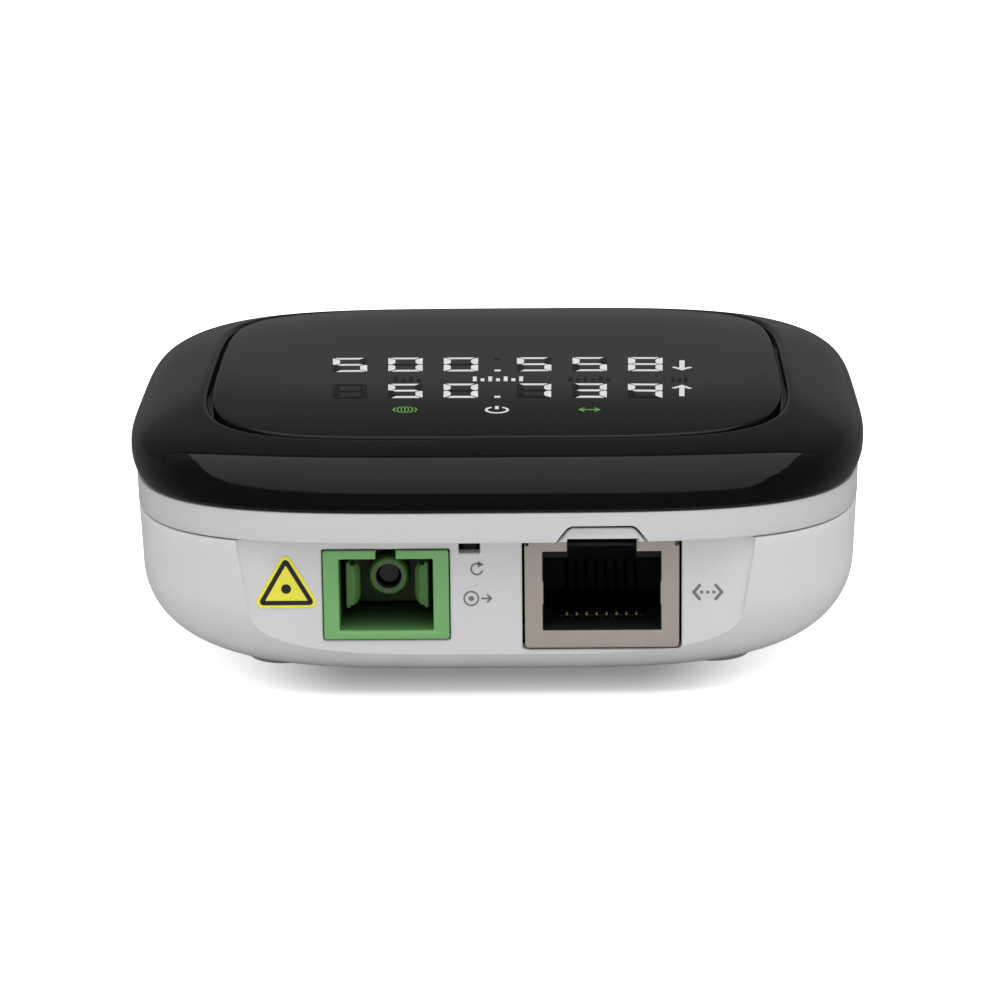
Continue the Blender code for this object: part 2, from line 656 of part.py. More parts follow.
def chip(name, x, y, size_x, size_y, height, material, z=PART_Z, bevel=0.2):
    low = (x - size_x / 2, y - size_y / 2, z)
    return box(name, low, (x + size_x / 2, y + size_y / 2, z + height), material, bevel)


def capacitor(name, x, y, radius, height, material):
    profile = [(0.0, radius + 0.1), (1.2, radius + 0.1), (1.6, radius - 0.15), (2.0, radius)]
    profile += [(height - 0.3, radius), (height, radius - 0.35)]
    turned(name, (x, y, PART_Z), "Z", profile, material, 20)


def heat_sink(material):
    """A finned block that stands on the processor's heat pad."""
    x, y = PROCESSOR_PLACE
    z = PART_Z + PROCESSOR_HEIGHT + GAP + PAD_HEIGHT + GAP
    width, depth, base, height = 15.0, 14.0, 1.2, 5.0
    fins = 6
    pitch = width / (fins - 0.5)
    outline = [(x - width / 2, z)]
    for k in range(fins):
        left = x - width / 2 + k * pitch
        outline += [(left, z + height), (left + pitch / 2, z + height)]
        if k < fins - 1:
            outline += [(left + pitch / 2, z + base), (left + pitch, z + base)]
    outline.append((x + width / 2, z))
    prism("heat_sink", outline, "Y", y - depth / 2, depth, material, (x, y, z))


def electronics(materials):
    black = materials["chip"]
    chip("network_processor", *PROCESSOR_PLACE, 13.0, 13.0, PROCESSOR_HEIGHT, black)
    pad_z = PART_Z + PROCESSOR_HEIGHT + GAP
    chip("heat_pad", *PROCESSOR_PLACE, 12.0, 12.0, PAD_HEIGHT, materials["pad"], pad_z, 0.1)
    heat_sink(materials["aluminium"])
    chip("memory_chip", -19.5, 4.5, 8.0, 11.0, 1.1, black)
    chip("flash_chip", -12.5, 20.5, 6.0, 5.0, 1.4, black)
    chip("crystal", -7.0, 20.5, 2.5, 3.2, 0.9, materials["steel"], bevel=0.15)
    chip("ethernet_transformer", 12.0, -5.0, 14.5, 8.5, 4.6, black)
    chip("power_inductor", 20.5, 4.5, 6.0, 6.0, 3.2, materials["ferrite"], bevel=0.6)
    capacitor("capacitor_large", 12.0, 20.3, 3.15, 7.7, materials["aluminium"])
    capacitor("capacitor_small", 13.2, 10.6, 2.5, 6.0, materials["aluminium"])


def display_stack(board_green, mask_black, diffuser_white, socket_white, ribbon_white):
    outline = rounded_outline((-28.0, -21.0), (28.0, 21.0), 4.0)
    prism("display_board", outline, "Z", DISPLAY_BOARD_Z, DISPLAY_BOARD, board_green)
    mask_low = DISPLAY_BOARD_Z + DISPLAY_BOARD + GAP
    sheet = rounded_outline((-25.0, -19.2), (25.0, 19.2), 5.0)
    mask = prism("light_mask", sheet, "Z", mask_low, MASK_TOP - mask_low, mask_black)
    for i, row in enumerate(DIGIT_ROWS):
        low = (-ROW_WELL_X, row - ROW_WELL_Y, mask_low - 1)
        cut(mask, box(f"mask_row_{i}", low, (ROW_WELL_X, row + ROW_WELL_Y, MASK_TOP + 1)))
    prism("diffuser_sheet", sheet, "Z", MASK_TOP + 0.25, 0.35, diffuser_white)
    chip("ribbon_socket_main", 0.0, 18.6, 11.0, 3.4, SOCKET_HEIGHT, socket_white, bevel=0.15)
    low = DISPLAY_BOARD_Z - GAP - SOCKET_HEIGHT
    chip("ribbon_socket_display", 0.0, 15.0, 11.0, 3.4, SOCKET_HEIGHT, socket_white, low, 0.15)
    ribbon_cable(low + SOCKET_HEIGHT / 2, ribbon_white)


def ribbon_cable(high_z, material):
    """A flat cable that leaves the main socket backwards and loops up to the display socket."""
    low_z = PART_Z + SOCKET_HEIGHT / 2
    radius = 3.0
    back = 24.6
    path = [(20.7, low_z)]
    for k in range(5):
        angle = radians(-90 + 22.5 * k)
        path.append((back - radius + radius * cos(angle), low_z + radius + radius * sin(angle)))
    for k in range(5):
        angle = radians(22.5 * k)
        path.append((back - radius + radius * cos(angle), high_z - radius + radius * sin(angle)))
    path.append((17.1, high_z))
    prism("ribbon_cable", strip_outline(path, 0.3), "X", -4.5, 9.0, material, (0.0, back, (low_z + high_z) / 2))


# ---------------------------------------------------------------- whole object

def main():
    clear_scene()
    white = make_material("white_plastic", (0.78, 0.79, 0.80), 0.45)
    black_gloss = make_material("black_gloss", (0.008, 0.008, 0.009), 0.08)
    smoked = make_material("smoked_window", (0.015, 0.015, 0.017), 0.06)
    rubber = make_material("grey_rubber", (0.12, 0.12, 0.13), 0.8)
    steel = make_material("steel", (0.55, 0.55, 0.56), 0.35, 1.0)
    paper = make_material("label_paper", (0.75, 0.75, 0.76), 0.7)
    yellow = make_material("sticker_yellow", (0.86, 0.74, 0.02), 0.5)
    green = make_material("sc_green", (0.12, 0.42, 0.13), 0.45)
    holder = make_material("sc_holder_green", (0.07, 0.26, 0.08), 0.5)
    ceramic = make_material("ceramic", (0.85, 0.84, 0.80), 0.25)
    block_metal = make_material("transceiver_metal", (0.62, 0.60, 0.56), 0.35, 1.0)
    gold = make_material("gold_plate", (0.80, 0.60, 0.24), 0.25, 1.0)
    flex = make_material("flex_film", (0.55, 0.25, 0.05), 0.4)
    nickel = make_material("nickel", (0.60, 0.58, 0.54), 0.4, 1.0)
    black = make_material("black_plastic", (0.015, 0.015, 0.016), 0.5)
    board_green = make_material("board_green", (0.02, 0.12, 0.05), 0.35)
    socket_white = make_material("socket_plastic", (0.70, 0.68, 0.62), 0.5)
    diffuser = make_material("diffuser_film", (0.85, 0.86, 0.86), 0.6)

    bottom_shell(white)
    collar(white)
    top_cover(black_gloss)
    display_window(smoked)
    feet_and_screws(rubber, steel)
    base_label(paper)
    sticker_prism("port_sticker", 0.0, PORT_FACE_Y - 0.25, 0.25, yellow)
    sc_port(green, holder, ceramic, block_metal, gold, flex)
    rj45_port(nickel, black, gold)
    reset(black, steel)
    main_board(board_green, steel)
    electronics({
        "chip": black,
        "pad": make_material("heat_pad_grey", (0.35, 0.38, 0.42), 0.8),
        "aluminium": make_material("aluminium", (0.70, 0.71, 0.73), 0.35, 1.0),
        "steel": steel,
        "ferrite": make_material("ferrite", (0.10, 0.10, 0.11), 0.6),
    })
    display_stack(board_green, black, diffuser, socket_white, socket_white)


main()
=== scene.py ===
"""The looks of the optical network terminal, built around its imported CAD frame.

Geometry is worked out in millimetres and stored in metres. Sizes and places come from the boxes of the CAD
nodes and from the named design values below. +Z is up, and -Y faces the two ports.
"""

import json
from math import atan2, cos, hypot, pi, radians, sin

import bmesh
import bpy
import numpy as np
from mathutils import Matrix, Vector

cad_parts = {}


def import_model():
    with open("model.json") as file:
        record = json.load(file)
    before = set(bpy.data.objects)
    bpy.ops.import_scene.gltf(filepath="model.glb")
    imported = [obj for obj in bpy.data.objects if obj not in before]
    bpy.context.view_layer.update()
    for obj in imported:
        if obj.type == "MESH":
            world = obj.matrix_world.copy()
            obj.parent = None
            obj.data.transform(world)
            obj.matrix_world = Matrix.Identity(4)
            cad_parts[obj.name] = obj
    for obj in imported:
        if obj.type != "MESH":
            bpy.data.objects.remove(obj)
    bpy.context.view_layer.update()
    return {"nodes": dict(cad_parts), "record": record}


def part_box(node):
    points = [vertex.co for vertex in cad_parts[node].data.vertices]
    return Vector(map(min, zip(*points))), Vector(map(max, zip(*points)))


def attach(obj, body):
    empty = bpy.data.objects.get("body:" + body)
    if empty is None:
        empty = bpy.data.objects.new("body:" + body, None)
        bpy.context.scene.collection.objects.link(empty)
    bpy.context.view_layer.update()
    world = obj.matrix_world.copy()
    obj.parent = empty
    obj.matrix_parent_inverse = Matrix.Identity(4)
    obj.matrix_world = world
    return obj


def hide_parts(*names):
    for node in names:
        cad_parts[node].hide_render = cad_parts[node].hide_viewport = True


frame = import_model()

MM = 0.001


def node_box(name):
    low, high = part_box(name)
    return Vector(low) / MM, Vector(high) / MM


def middle(name):
    low, high = node_box(name)
    return (low + high) / 2


# ---------------------------------------------------------------- sizes, in millimetres

SHELL_LOW, SHELL_HIGH = node_box("bottom_shell")
COLLAR_HIGH = node_box("mid_collar")[1]
COVER_LOW, COVER_HIGH = node_box("top_cover")
WINDOW_LOW, WINDOW_HIGH = node_box("display_window")
SC_LOW, SC_HIGH = node_box("sc_housing")
SC_X, SC_Z = (SC_LOW.x + SC_HIGH.x) / 2, (SC_LOW.z + SC_HIGH.z) / 2
JACK_LOW, JACK_HIGH = node_box("rj45_shield")
JACK_X = (JACK_LOW.x + JACK_HIGH.x) / 2
RESET_LOW, RESET_HIGH = node_box("reset_pusher")
RESET_X = (RESET_LOW.x + RESET_HIGH.x) / 2
LABEL_LOW, LABEL_HIGH = node_box("base_label")
FEET = [middle(f"rubber_foot_{i}") for i in range(1, 5)]

GAP = 0.3
HALF_X = COVER_HIGH.x
HALF_Y = COVER_HIGH.y
BASE_Z = SHELL_LOW.z
SEAM_Z = SHELL_HIGH.z + GAP
COLLAR_TOP = COLLAR_HIGH.z
COVER_Z = COLLAR_TOP + 0.2
RIM_Z = COVER_HIGH.z
WALL_Y = SHELL_LOW.y
PORT_Y = SC_LOW.y

# Body plan: superellipse rings, with more of their points in front, where the port wall is let in.
POWER = 4.0
BACK_ROUNDER = 0.2
POINTS = 420
FRONT_WEIGHT = 2.6
SEAM_LINE = 0.16
EDGE = 0.16

# Bottom shell.
WALL_INSET = 0.85
WALL_INSET_TOP = 0.6
WALL = 1.8
FLOOR = 1.6
ROUND_ACROSS = 12.5
ROUND_SIDEWAYS = 1.25
ROUND_UP = 10.0
ROUND_POWER = 2.2
WALL_FILLET = 0.5
PORT_WALL = 1.5
OPENING_FLARE = 0.1
OPENING_DEPTH = PORT_WALL + 1.8
LABEL_CORNER = 1.5
SCREW_PASSAGE = 1.3

# Pocket of the port wall. Its flare holds (distance from the wall, growth of the outline).
POCKET_DEPTH = 0.45
POCKET_DROP = 0.9
POCKET_MIN_HALF = 6.0
POCKET_LEVELS = 40
POCKET_FLARE = [(-4.0, 1.2), (-1.0, 0.7), (-0.6, 0.36), (-0.35, 0.2), (-0.12, 0.1), (0.0, 0.0)]

# Cover: a parabolic side below the widest ring, and a superelliptic shoulder above it.
WIDEST_Z = 22.8
SIDE_INSET = 0.45
SHOULDER_ACROSS = 14.0
SHOULDER_UP = 4.05
SHOULDER_POWER = 2.86
LIP_RADIUS = 0.55
COVER_EDGE = 0.3
TRAY = 1.2
APERTURE = (26.0, 20.0, 8.0)

# Window.
WINDOW_POWER = 4.6
WINDOW_EDGE = 0.2
WINDOW_X = WINDOW_HIGH.x - 0.25
WINDOW_Y = WINDOW_HIGH.y
SIDE_LIFT = 1.0
BACK_STRETCH = 0.05
CROWN = 1.4
CROWN_POWER = 5.0

# Collar.
COLLAR_INSET = 0.55
COLLAR_INNER = 2.4
COLLAR_FOOT = 4.1
COLLAR_FOOT_Z = SEAM_Z + 1.4
RELIEF_HALF_LOW = 4.7
RELIEF_HALF_TOP = 3.3
RELIEF_RISE = 1.75
RELIEF_GROOVE = 0.3
RELIEF_CORNER = 1.1
ARM_REACH = 35.2
ARM_HALF = 1.6
POST_LEVELS = [(0.0, 2.8), (0.3, 3.0)]

FOOT_RECESS = 0.65
BOSS_TOP = 13.2


# ---------------------------------------------------------------- mesh tools

def superellipse(half_x, half_y, power, angles):
    """A superellipse whose back corners are a little rounder than its front ones."""
    c, s = np.cos(angles), np.sin(angles)
    power = power - BACK_ROUNDER * np.clip(1.4 * s, 0.0, 1.0)
    radius = (abs(c / half_x) ** power + abs(s / half_y) ** power) ** (-1 / power)
    return radius * c, radius * s


def spaced_angles(count):
    """Angles whose points lie evenly round the body, and FRONT_WEIGHT times closer along the front."""
    fine = np.linspace(0.0, 2 * pi, 8001)
    x, y = superellipse(HALF_X, HALF_Y, POWER, fine)
    weight = np.where(y[1:] < WALL_Y + 1.0, FRONT_WEIGHT, 1.0)
    along = np.concatenate([[0.0], np.cumsum(np.hypot(np.diff(x), np.diff(y)) * weight)])
    return np.interp((np.arange(count) + 0.5) / count * along[-1], along, fine)


ANGLES = spaced_angles(POINTS)


def soft_max(values, limit, blend):
    """Keeps values at or above the limit, with a rounded change where the two meet."""
    near = np.maximum(blend - abs(values - limit), 0.0) / blend
    return np.maximum(values, limit) + near * near * blend / 4


def plan_ring(half_x, half_y, power, z, front=None):
    x, y = superellipse(half_x, half_y, power, ANGLES)
    if front is not None:
        y = soft_max(y, front, WALL_FILLET)
    return np.stack([x, y, np.full_like(x, z)], axis=1)


def body_ring(inset, z, front=None):
    return plan_ring(HALF_X - inset, HALF_Y - inset, POWER, z, front)


def loft(rings, closed=False):
    """Points and faces of a skin through rings of equal length. An open skin is capped at both ends."""
    points = [tuple(point) for ring in rings for point in ring]
    count = len(rings[0])
    faces = []
    for k in range(len(rings) if closed else len(rings) - 1):
        low, high = k * count, (k + 1) % len(rings) * count
        faces += [(low + i, low + (i + 1) % count, high + (i + 1) % count, high + i) for i in range(count)]
    if not closed:
        faces.append(tuple(range(count))[::-1])
        faces.append(tuple(range(len(points) - count, len(points))))
    return points, faces


def quarter(steps):
    """Sines and cosines of even steps through a right angle."""
    angles = [k / steps * pi / 2 for k in range(steps + 1)]
    return [(sin(angle), cos(angle)) for angle in angles]


def merged(parts):
    """One list of points and faces from several closed solids."""
    points, faces = [], []
    for part_points, part_faces in parts:
        start = len(points)
        points += list(part_points)
        faces += [tuple(start + i for i in face) for face in part_faces]
    return points, faces


def outline(core, radius, steps=6):
    """A convex core polygon, anticlockwise, grown by a radius with round corners."""
    points = []
    for i, here in enumerate(core):
        before, after = core[i - 1], core[(i + 1) % len(core)]
        start = atan2(before[0] - here[0], here[1] - before[1])
        end = atan2(here[0] - after[0], after[1] - here[1])
        if end < start:
            end += 2 * pi
        for k in range(steps + 1):
            angle = start + (end - start) * k / steps
            points.append((here[0] + radius * cos(angle), here[1] + radius * sin(angle)))
    return points


def swollen(path, distance):
    """A smooth closed path, anticlockwise, moved outwards along its normals."""
    points = []
    for i, (u, v) in enumerate(path):
        before, after = path[i - 1], path[(i + 1) % len(path)]
        du, dv = after[0] - before[0], after[1] - before[1]
        scale = distance / hypot(du, dv)
        points.append((u + scale * dv, v - scale * du))
    return points


def rectangle(low, high, radius):
    """The core of a rectangle whose corners will be grown back by the radius."""
    (x0, y0), (x1, y1) = low, high
    return [(x1 - radius, y1 - radius), (x0 + radius, y1 - radius),
            (x0 + radius, y0 + radius), (x1 - radius, y0 + radius)]


SPREAD = {
    "X": lambda u, v, w: (w, u, v),
    "Y": lambda u, v, w: (u, w, v),
    "Z": lambda u, v, w: (u, v, w),
}


def stack(core, levels, axis, steps=6):
    """A solid along an axis through grown outlines: levels holds (position, radius) pairs."""
    spread = SPREAD[axis]
    return loft([[spread(u, v, position) for u, v in outline(core, radius, steps)]
                 for position, radius in levels])


def slab(one, other, axis, corner, edge):
    """A block between two opposite corners, with round corners seen along the axis and round end edges."""
    low, high = [min(pair) for pair in zip(one, other)], [max(pair) for pair in zip(one, other)]
    index = "XYZ".index(axis)
    flat = [k for k in range(3) if k != index]
    core = rectangle([low[k] for k in flat], [high[k] for k in flat], corner)
    levels = [(edge * (1 - c), corner - edge * (1 - s)) for s, c in quarter(3)]
    ends = [(low[index] + depth, radius) for depth, radius in levels]
    ends += [(high[index] - depth, radius) for depth, radius in levels[::-1]]
    return stack(core, ends, axis, 5)


def revolve(profile, centre, axis, segments=48, closed=False):
    """A solid of revolution. The profile holds (position along the axis, radius) from end to end."""
    spread = SPREAD[axis]
    u0, v0 = [centre[k] for k in range(3) if k != "XYZ".index(axis)]
    turns = [2 * pi * i / segments for i in range(segments)]
    rings = []
    for position, radius in profile:
        rings.append([spread(u0 + radius * cos(turn), v0 + radius * sin(turn), position) for turn in turns])
    return loft(rings, closed)


def tube(outer, inner, centre, axis):
    """A hollow turned part: outer profile one way, inner profile back."""
    return revolve(outer + inner[::-1], centre, axis, 64, closed=True)


def link(obj):
    bpy.context.scene.collection.objects.link(obj)


def make_object(name, solid):
    """An object from millimetre geometry, with its faces turned outwards."""
    points, faces = solid
    mesh = bpy.data.meshes.new(name)
    mesh.from_pydata([Vector(point) * MM for point in points], [], faces)
    bm = bmesh.new()
    bm.from_mesh(mesh)
    bmesh.ops.recalc_face_normals(bm, faces=bm.faces)
    bm.to_mesh(mesh)
    bm.free()
    obj = bpy.data.objects.new(name, mesh)
    link(obj)
    return obj


def shape(obj, joins, cuts):
    """Joins and then cuts solids from an object with exact Booleans, and stores the result in its mesh."""
    helpers = []
    for operation, solids in (("UNION", joins), ("DIFFERENCE", cuts)):
        if not solids:
            continue
        helper = make_object(f"{obj.name}_{operation.lower()}", merged(solids))
        modifier = obj.modifiers.new(operation, "BOOLEAN")
        modifier.operation = operation
        modifier.solver = "EXACT"
        modifier.object = helper
        helpers.append(helper)
    graph = bpy.context.evaluated_depsgraph_get()
    mesh = bpy.data.meshes.new_from_object(obj.evaluated_get(graph))
    obj.modifiers.clear()
    obj.data = mesh
    for helper in helpers:
        bpy.data.objects.remove(helper, do_unlink=True)


def join(*solids):
    return solids, ()


def cut(*solids):
    return (), solids


def paint(obj, material, sharp):
    """Gives a mesh one material and shades it smooth up to the sharp angle."""
    obj.data.materials.clear()
    obj.data.materials.append(MATERIALS[material])
    obj.data.shade_smooth()
    obj.data.set_sharp_from_angle(angle=radians(sharp))


def piece(name, solid, material, stands_for=(), body="housing", steps=(), sharp=32.0):
    """A finished piece that rides on its body. Each step holds the solids to join and then those to cut."""
    obj = make_object(name, solid)
    for joins, cuts in steps:
        shape(obj, joins, cuts)
    obj.data.name = name
    paint(obj, material, sharp)
    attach(obj, body)
    if stands_for:
        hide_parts(*stands_for)


# ---------------------------------------------------------------- material tools

def add_node(tree, kind, settings=None, **inputs):
    """A shader node. Inputs are named with underscores for spaces, or in_0, in_1 for numbered ones."""
    made = tree.nodes.new("ShaderNode" + kind)
    for name, value in (settings or {}).items():
        setattr(made, name, value)
    for name, value in inputs.items():
        key = int(name[3:]) if name.startswith("in_") else name.replace("_", " ")
        socket = made.inputs[key]
        if isinstance(value, bpy.types.NodeSocket):
            tree.links.new(value, socket)
        else:
            socket.default_value = value
    return made


def calculate(tree, operation, *values):
    inputs = {f"in_{k}": value for k, value in enumerate(values)}
    return add_node(tree, "Math", {"operation": operation}, **inputs).outputs[0]


def place_of(tree):
    return add_node(tree, "TexCoord").outputs["Object"]


def facing_of(tree):
    return add_node(tree, "NewGeometry").outputs["Normal"]


def part_of(tree, vector, index):
    return add_node(tree, "SeparateXYZ", Vector=vector).outputs[index]


def scaled(tree, colour, level):
    return add_node(tree, "VectorMath", {"operation": "SCALE"}, in_0=colour, Scale=level).outputs[0]


def ramp(tree, value, low, high, to_low, to_high, smooth=False):
    kind = {"interpolation_type": "SMOOTHSTEP" if smooth else "LINEAR", "clamp": True}
    return add_node(tree, "MapRange", kind, Value=value, From_Min=low, From_Max=high,
                    To_Min=to_low, To_Max=to_high).outputs[0]


def mix_colour(tree, share, first, second):
    made = add_node(tree, "Mix", {"data_type": "RGBA"}, Factor=share)
    for socket, value in ((made.inputs[6], first), (made.inputs[7], second)):
        if isinstance(value, bpy.types.NodeSocket):
            tree.links.new(value, socket)
        else:
            socket.default_value = (*value, 1.0)
    return made.outputs[2]


def mix_value(tree, share, first, second):
    return add_node(tree, "Mix", {"data_type": "FLOAT"}, in_0=share, in_2=first, in_3=second).outputs[0]


def noise(tree, place, scale, detail=2.0, stretch=None):
    """Noise whose scale is in features per millimetre, on the object's own coordinates."""
    if stretch:
        place = add_node(tree, "Mapping", Vector=place, Scale=stretch).outputs[0]
    return add_node(tree, "TexNoise", Vector=place, Scale=scale / MM, Detail=detail).outputs["Fac"]


MATERIALS = {}


def finish(name, colour, roughness, metallic=0.0, mottle=0.04, mottle_scale=0.08, uneven=0.06,
           grain=0.0, grain_scale=5.0, brushed=None, wear=None, specular=0.5, coat=0.0, soft=0.0):
    """A procedural material.

    mottle is the colour's slow variation, uneven the roughness's. grain is the height in millimetres of the
    moulded or cast texture, brushed stretches it along one axis, and wear is a colour shown on sharp edges.
    """
    material = bpy.data.materials.new(name)
    MATERIALS[name] = material
    material.use_nodes = True
    tree = material.node_tree
    shader = tree.nodes["Principled BSDF"]
    place = place_of(tree)
    dark, light = [c * (1 - mottle) for c in colour], [min(c * (1 + mottle), 1.0) for c in colour]
    shade = mix_colour(tree, noise(tree, place, mottle_scale, 3.0), dark, light)
    smoothest, roughest = max(roughness - uneven, 0.02), roughness + uneven
    rough = ramp(tree, noise(tree, place, 0.5, 4.0), 0.3, 0.7, smoothest, roughest)
    if wear:
        edge_normal = add_node(tree, "Bevel", {"samples": 4}, Radius=0.12 * MM).outputs[0]
        facing = add_node(tree, "VectorMath", {"operation": "DOT_PRODUCT"}, in_0=edge_normal,
                          in_1=facing_of(tree))
        edge = ramp(tree, facing.outputs["Value"], 0.97, 0.8, 0.0, 1.0)
        edge = calculate(tree, "MULTIPLY", edge, ramp(tree, noise(tree, place, 1.2), 0.4, 0.65, 0.0, 0.85))
        shade = mix_colour(tree, edge, shade, wear)
    if grain:
        fine = noise(tree, place, grain_scale, 2.0, brushed)
        bump = add_node(tree, "Bump", Height=fine, Distance=grain * MM, Strength=1.0)
        tree.links.new(bump.outputs[0], shader.inputs["Normal"])
    tree.links.new(shade, shader.inputs["Base Color"])
    tree.links.new(rough, shader.inputs["Roughness"])
    values = {"Metallic": metallic, "Specular IOR Level": specular, "Coat Weight": coat}
    if soft:
        values |= {"Subsurface Weight": soft, "Subsurface Scale": 0.4 * MM}
    for key, value in values.items():
        shader.inputs[key].default_value = value
    return material


def repaint(material, change):
    """Passes a finish's colour through a change, a function of the tree and the colour."""
    tree = material.node_tree
    target = tree.nodes["Principled BSDF"].inputs["Base Color"]
    tree.links.new(change(tree, target.links[0].from_socket), target)
    return material


def overlay(material, pattern, colour):
    """Lays a colour over a finish where the pattern, built by a function of tree and place, is 1."""
    return repaint(material, lambda tree, base: mix_colour(tree, pattern(tree, place_of(tree)), base, colour))


def paint_depth_shade(material, stops):
    """Paints shade into a finish, darker with the distance behind the ports' front, for the shade inside the
    ports; where a level rises above the one before, it paints light instead. stops holds (distance, level)
    pairs.
    """
    def change(tree, colour):
        depth = part_of(tree, place_of(tree), 1)
        for (near, near_level), (far, far_level) in zip(stops, stops[1:]):
            level = ramp(tree, depth, (PORT_Y + near) * MM, (PORT_Y + far) * MM, 1.0, far_level / near_level)
            colour = scaled(tree, colour, level)
        return colour
    return repaint(material, change)


def darken_sides(material, level):
    """Darkens a finish where it faces left or right, in the shade of the cover's overhang."""
    def change(tree, colour):
        aside = calculate(tree, "ABSOLUTE", part_of(tree, facing_of(tree), 0))
        return scaled(tree, colour, ramp(tree, aside, 0.15, 0.9, 0.975, level))
    return repaint(material, change)


def glow(name, colour, strength):
    """A lit display element: an even glow that is a little brighter over each lamp behind it."""
    material = finish(name, [c * 0.1 for c in colour], 0.3)
    tree = material.node_tree
    shader = tree.nodes["Principled BSDF"]
    level = ramp(tree, noise(tree, place_of(tree), 0.35, 1.0), 0.3, 0.7, strength * 0.94, strength * 1.06)
    shader.inputs["Emission Color"].default_value = (*colour, 1.0)
    tree.links.new(level, shader.inputs["Emission Strength"])
    return material


def board_traces(tree, place):
    """Copper tracks under the solder mask: rows of thin lines that step sideways in blocks."""
    brick = add_node(tree, "TexBrick", {"offset": 0.5, "squash": 0.6, "squash_frequency": 3}, Vector=place,
                     Scale=0.5 / MM, Mortar_Size=0.05, Mortar_Smooth=0.2, Brick_Width=1.7, Row_Height=0.35)
    return calculate(tree, "MULTIPLY", brick.outputs["Fac"], 0.7)


def board_pads(tree, place):
    """Small round vias scattered over the board."""
    cells = add_node(tree, "TexVoronoi", Vector=place, Scale=0.55 / MM, Randomness=0.85)
    return calculate(tree, "LESS_THAN", cells.outputs["Distance"], 0.16)


def stripes(per_mm, share):
    """Even stripes across the X axis, for flat cables and flexible circuits."""
    def pattern(tree, place):
        across = calculate(tree, "MULTIPLY", part_of(tree, place, 0), per_mm / MM)
        return calculate(tree, "LESS_THAN", calculate(tree, "FRACT", across), share)
    return pattern


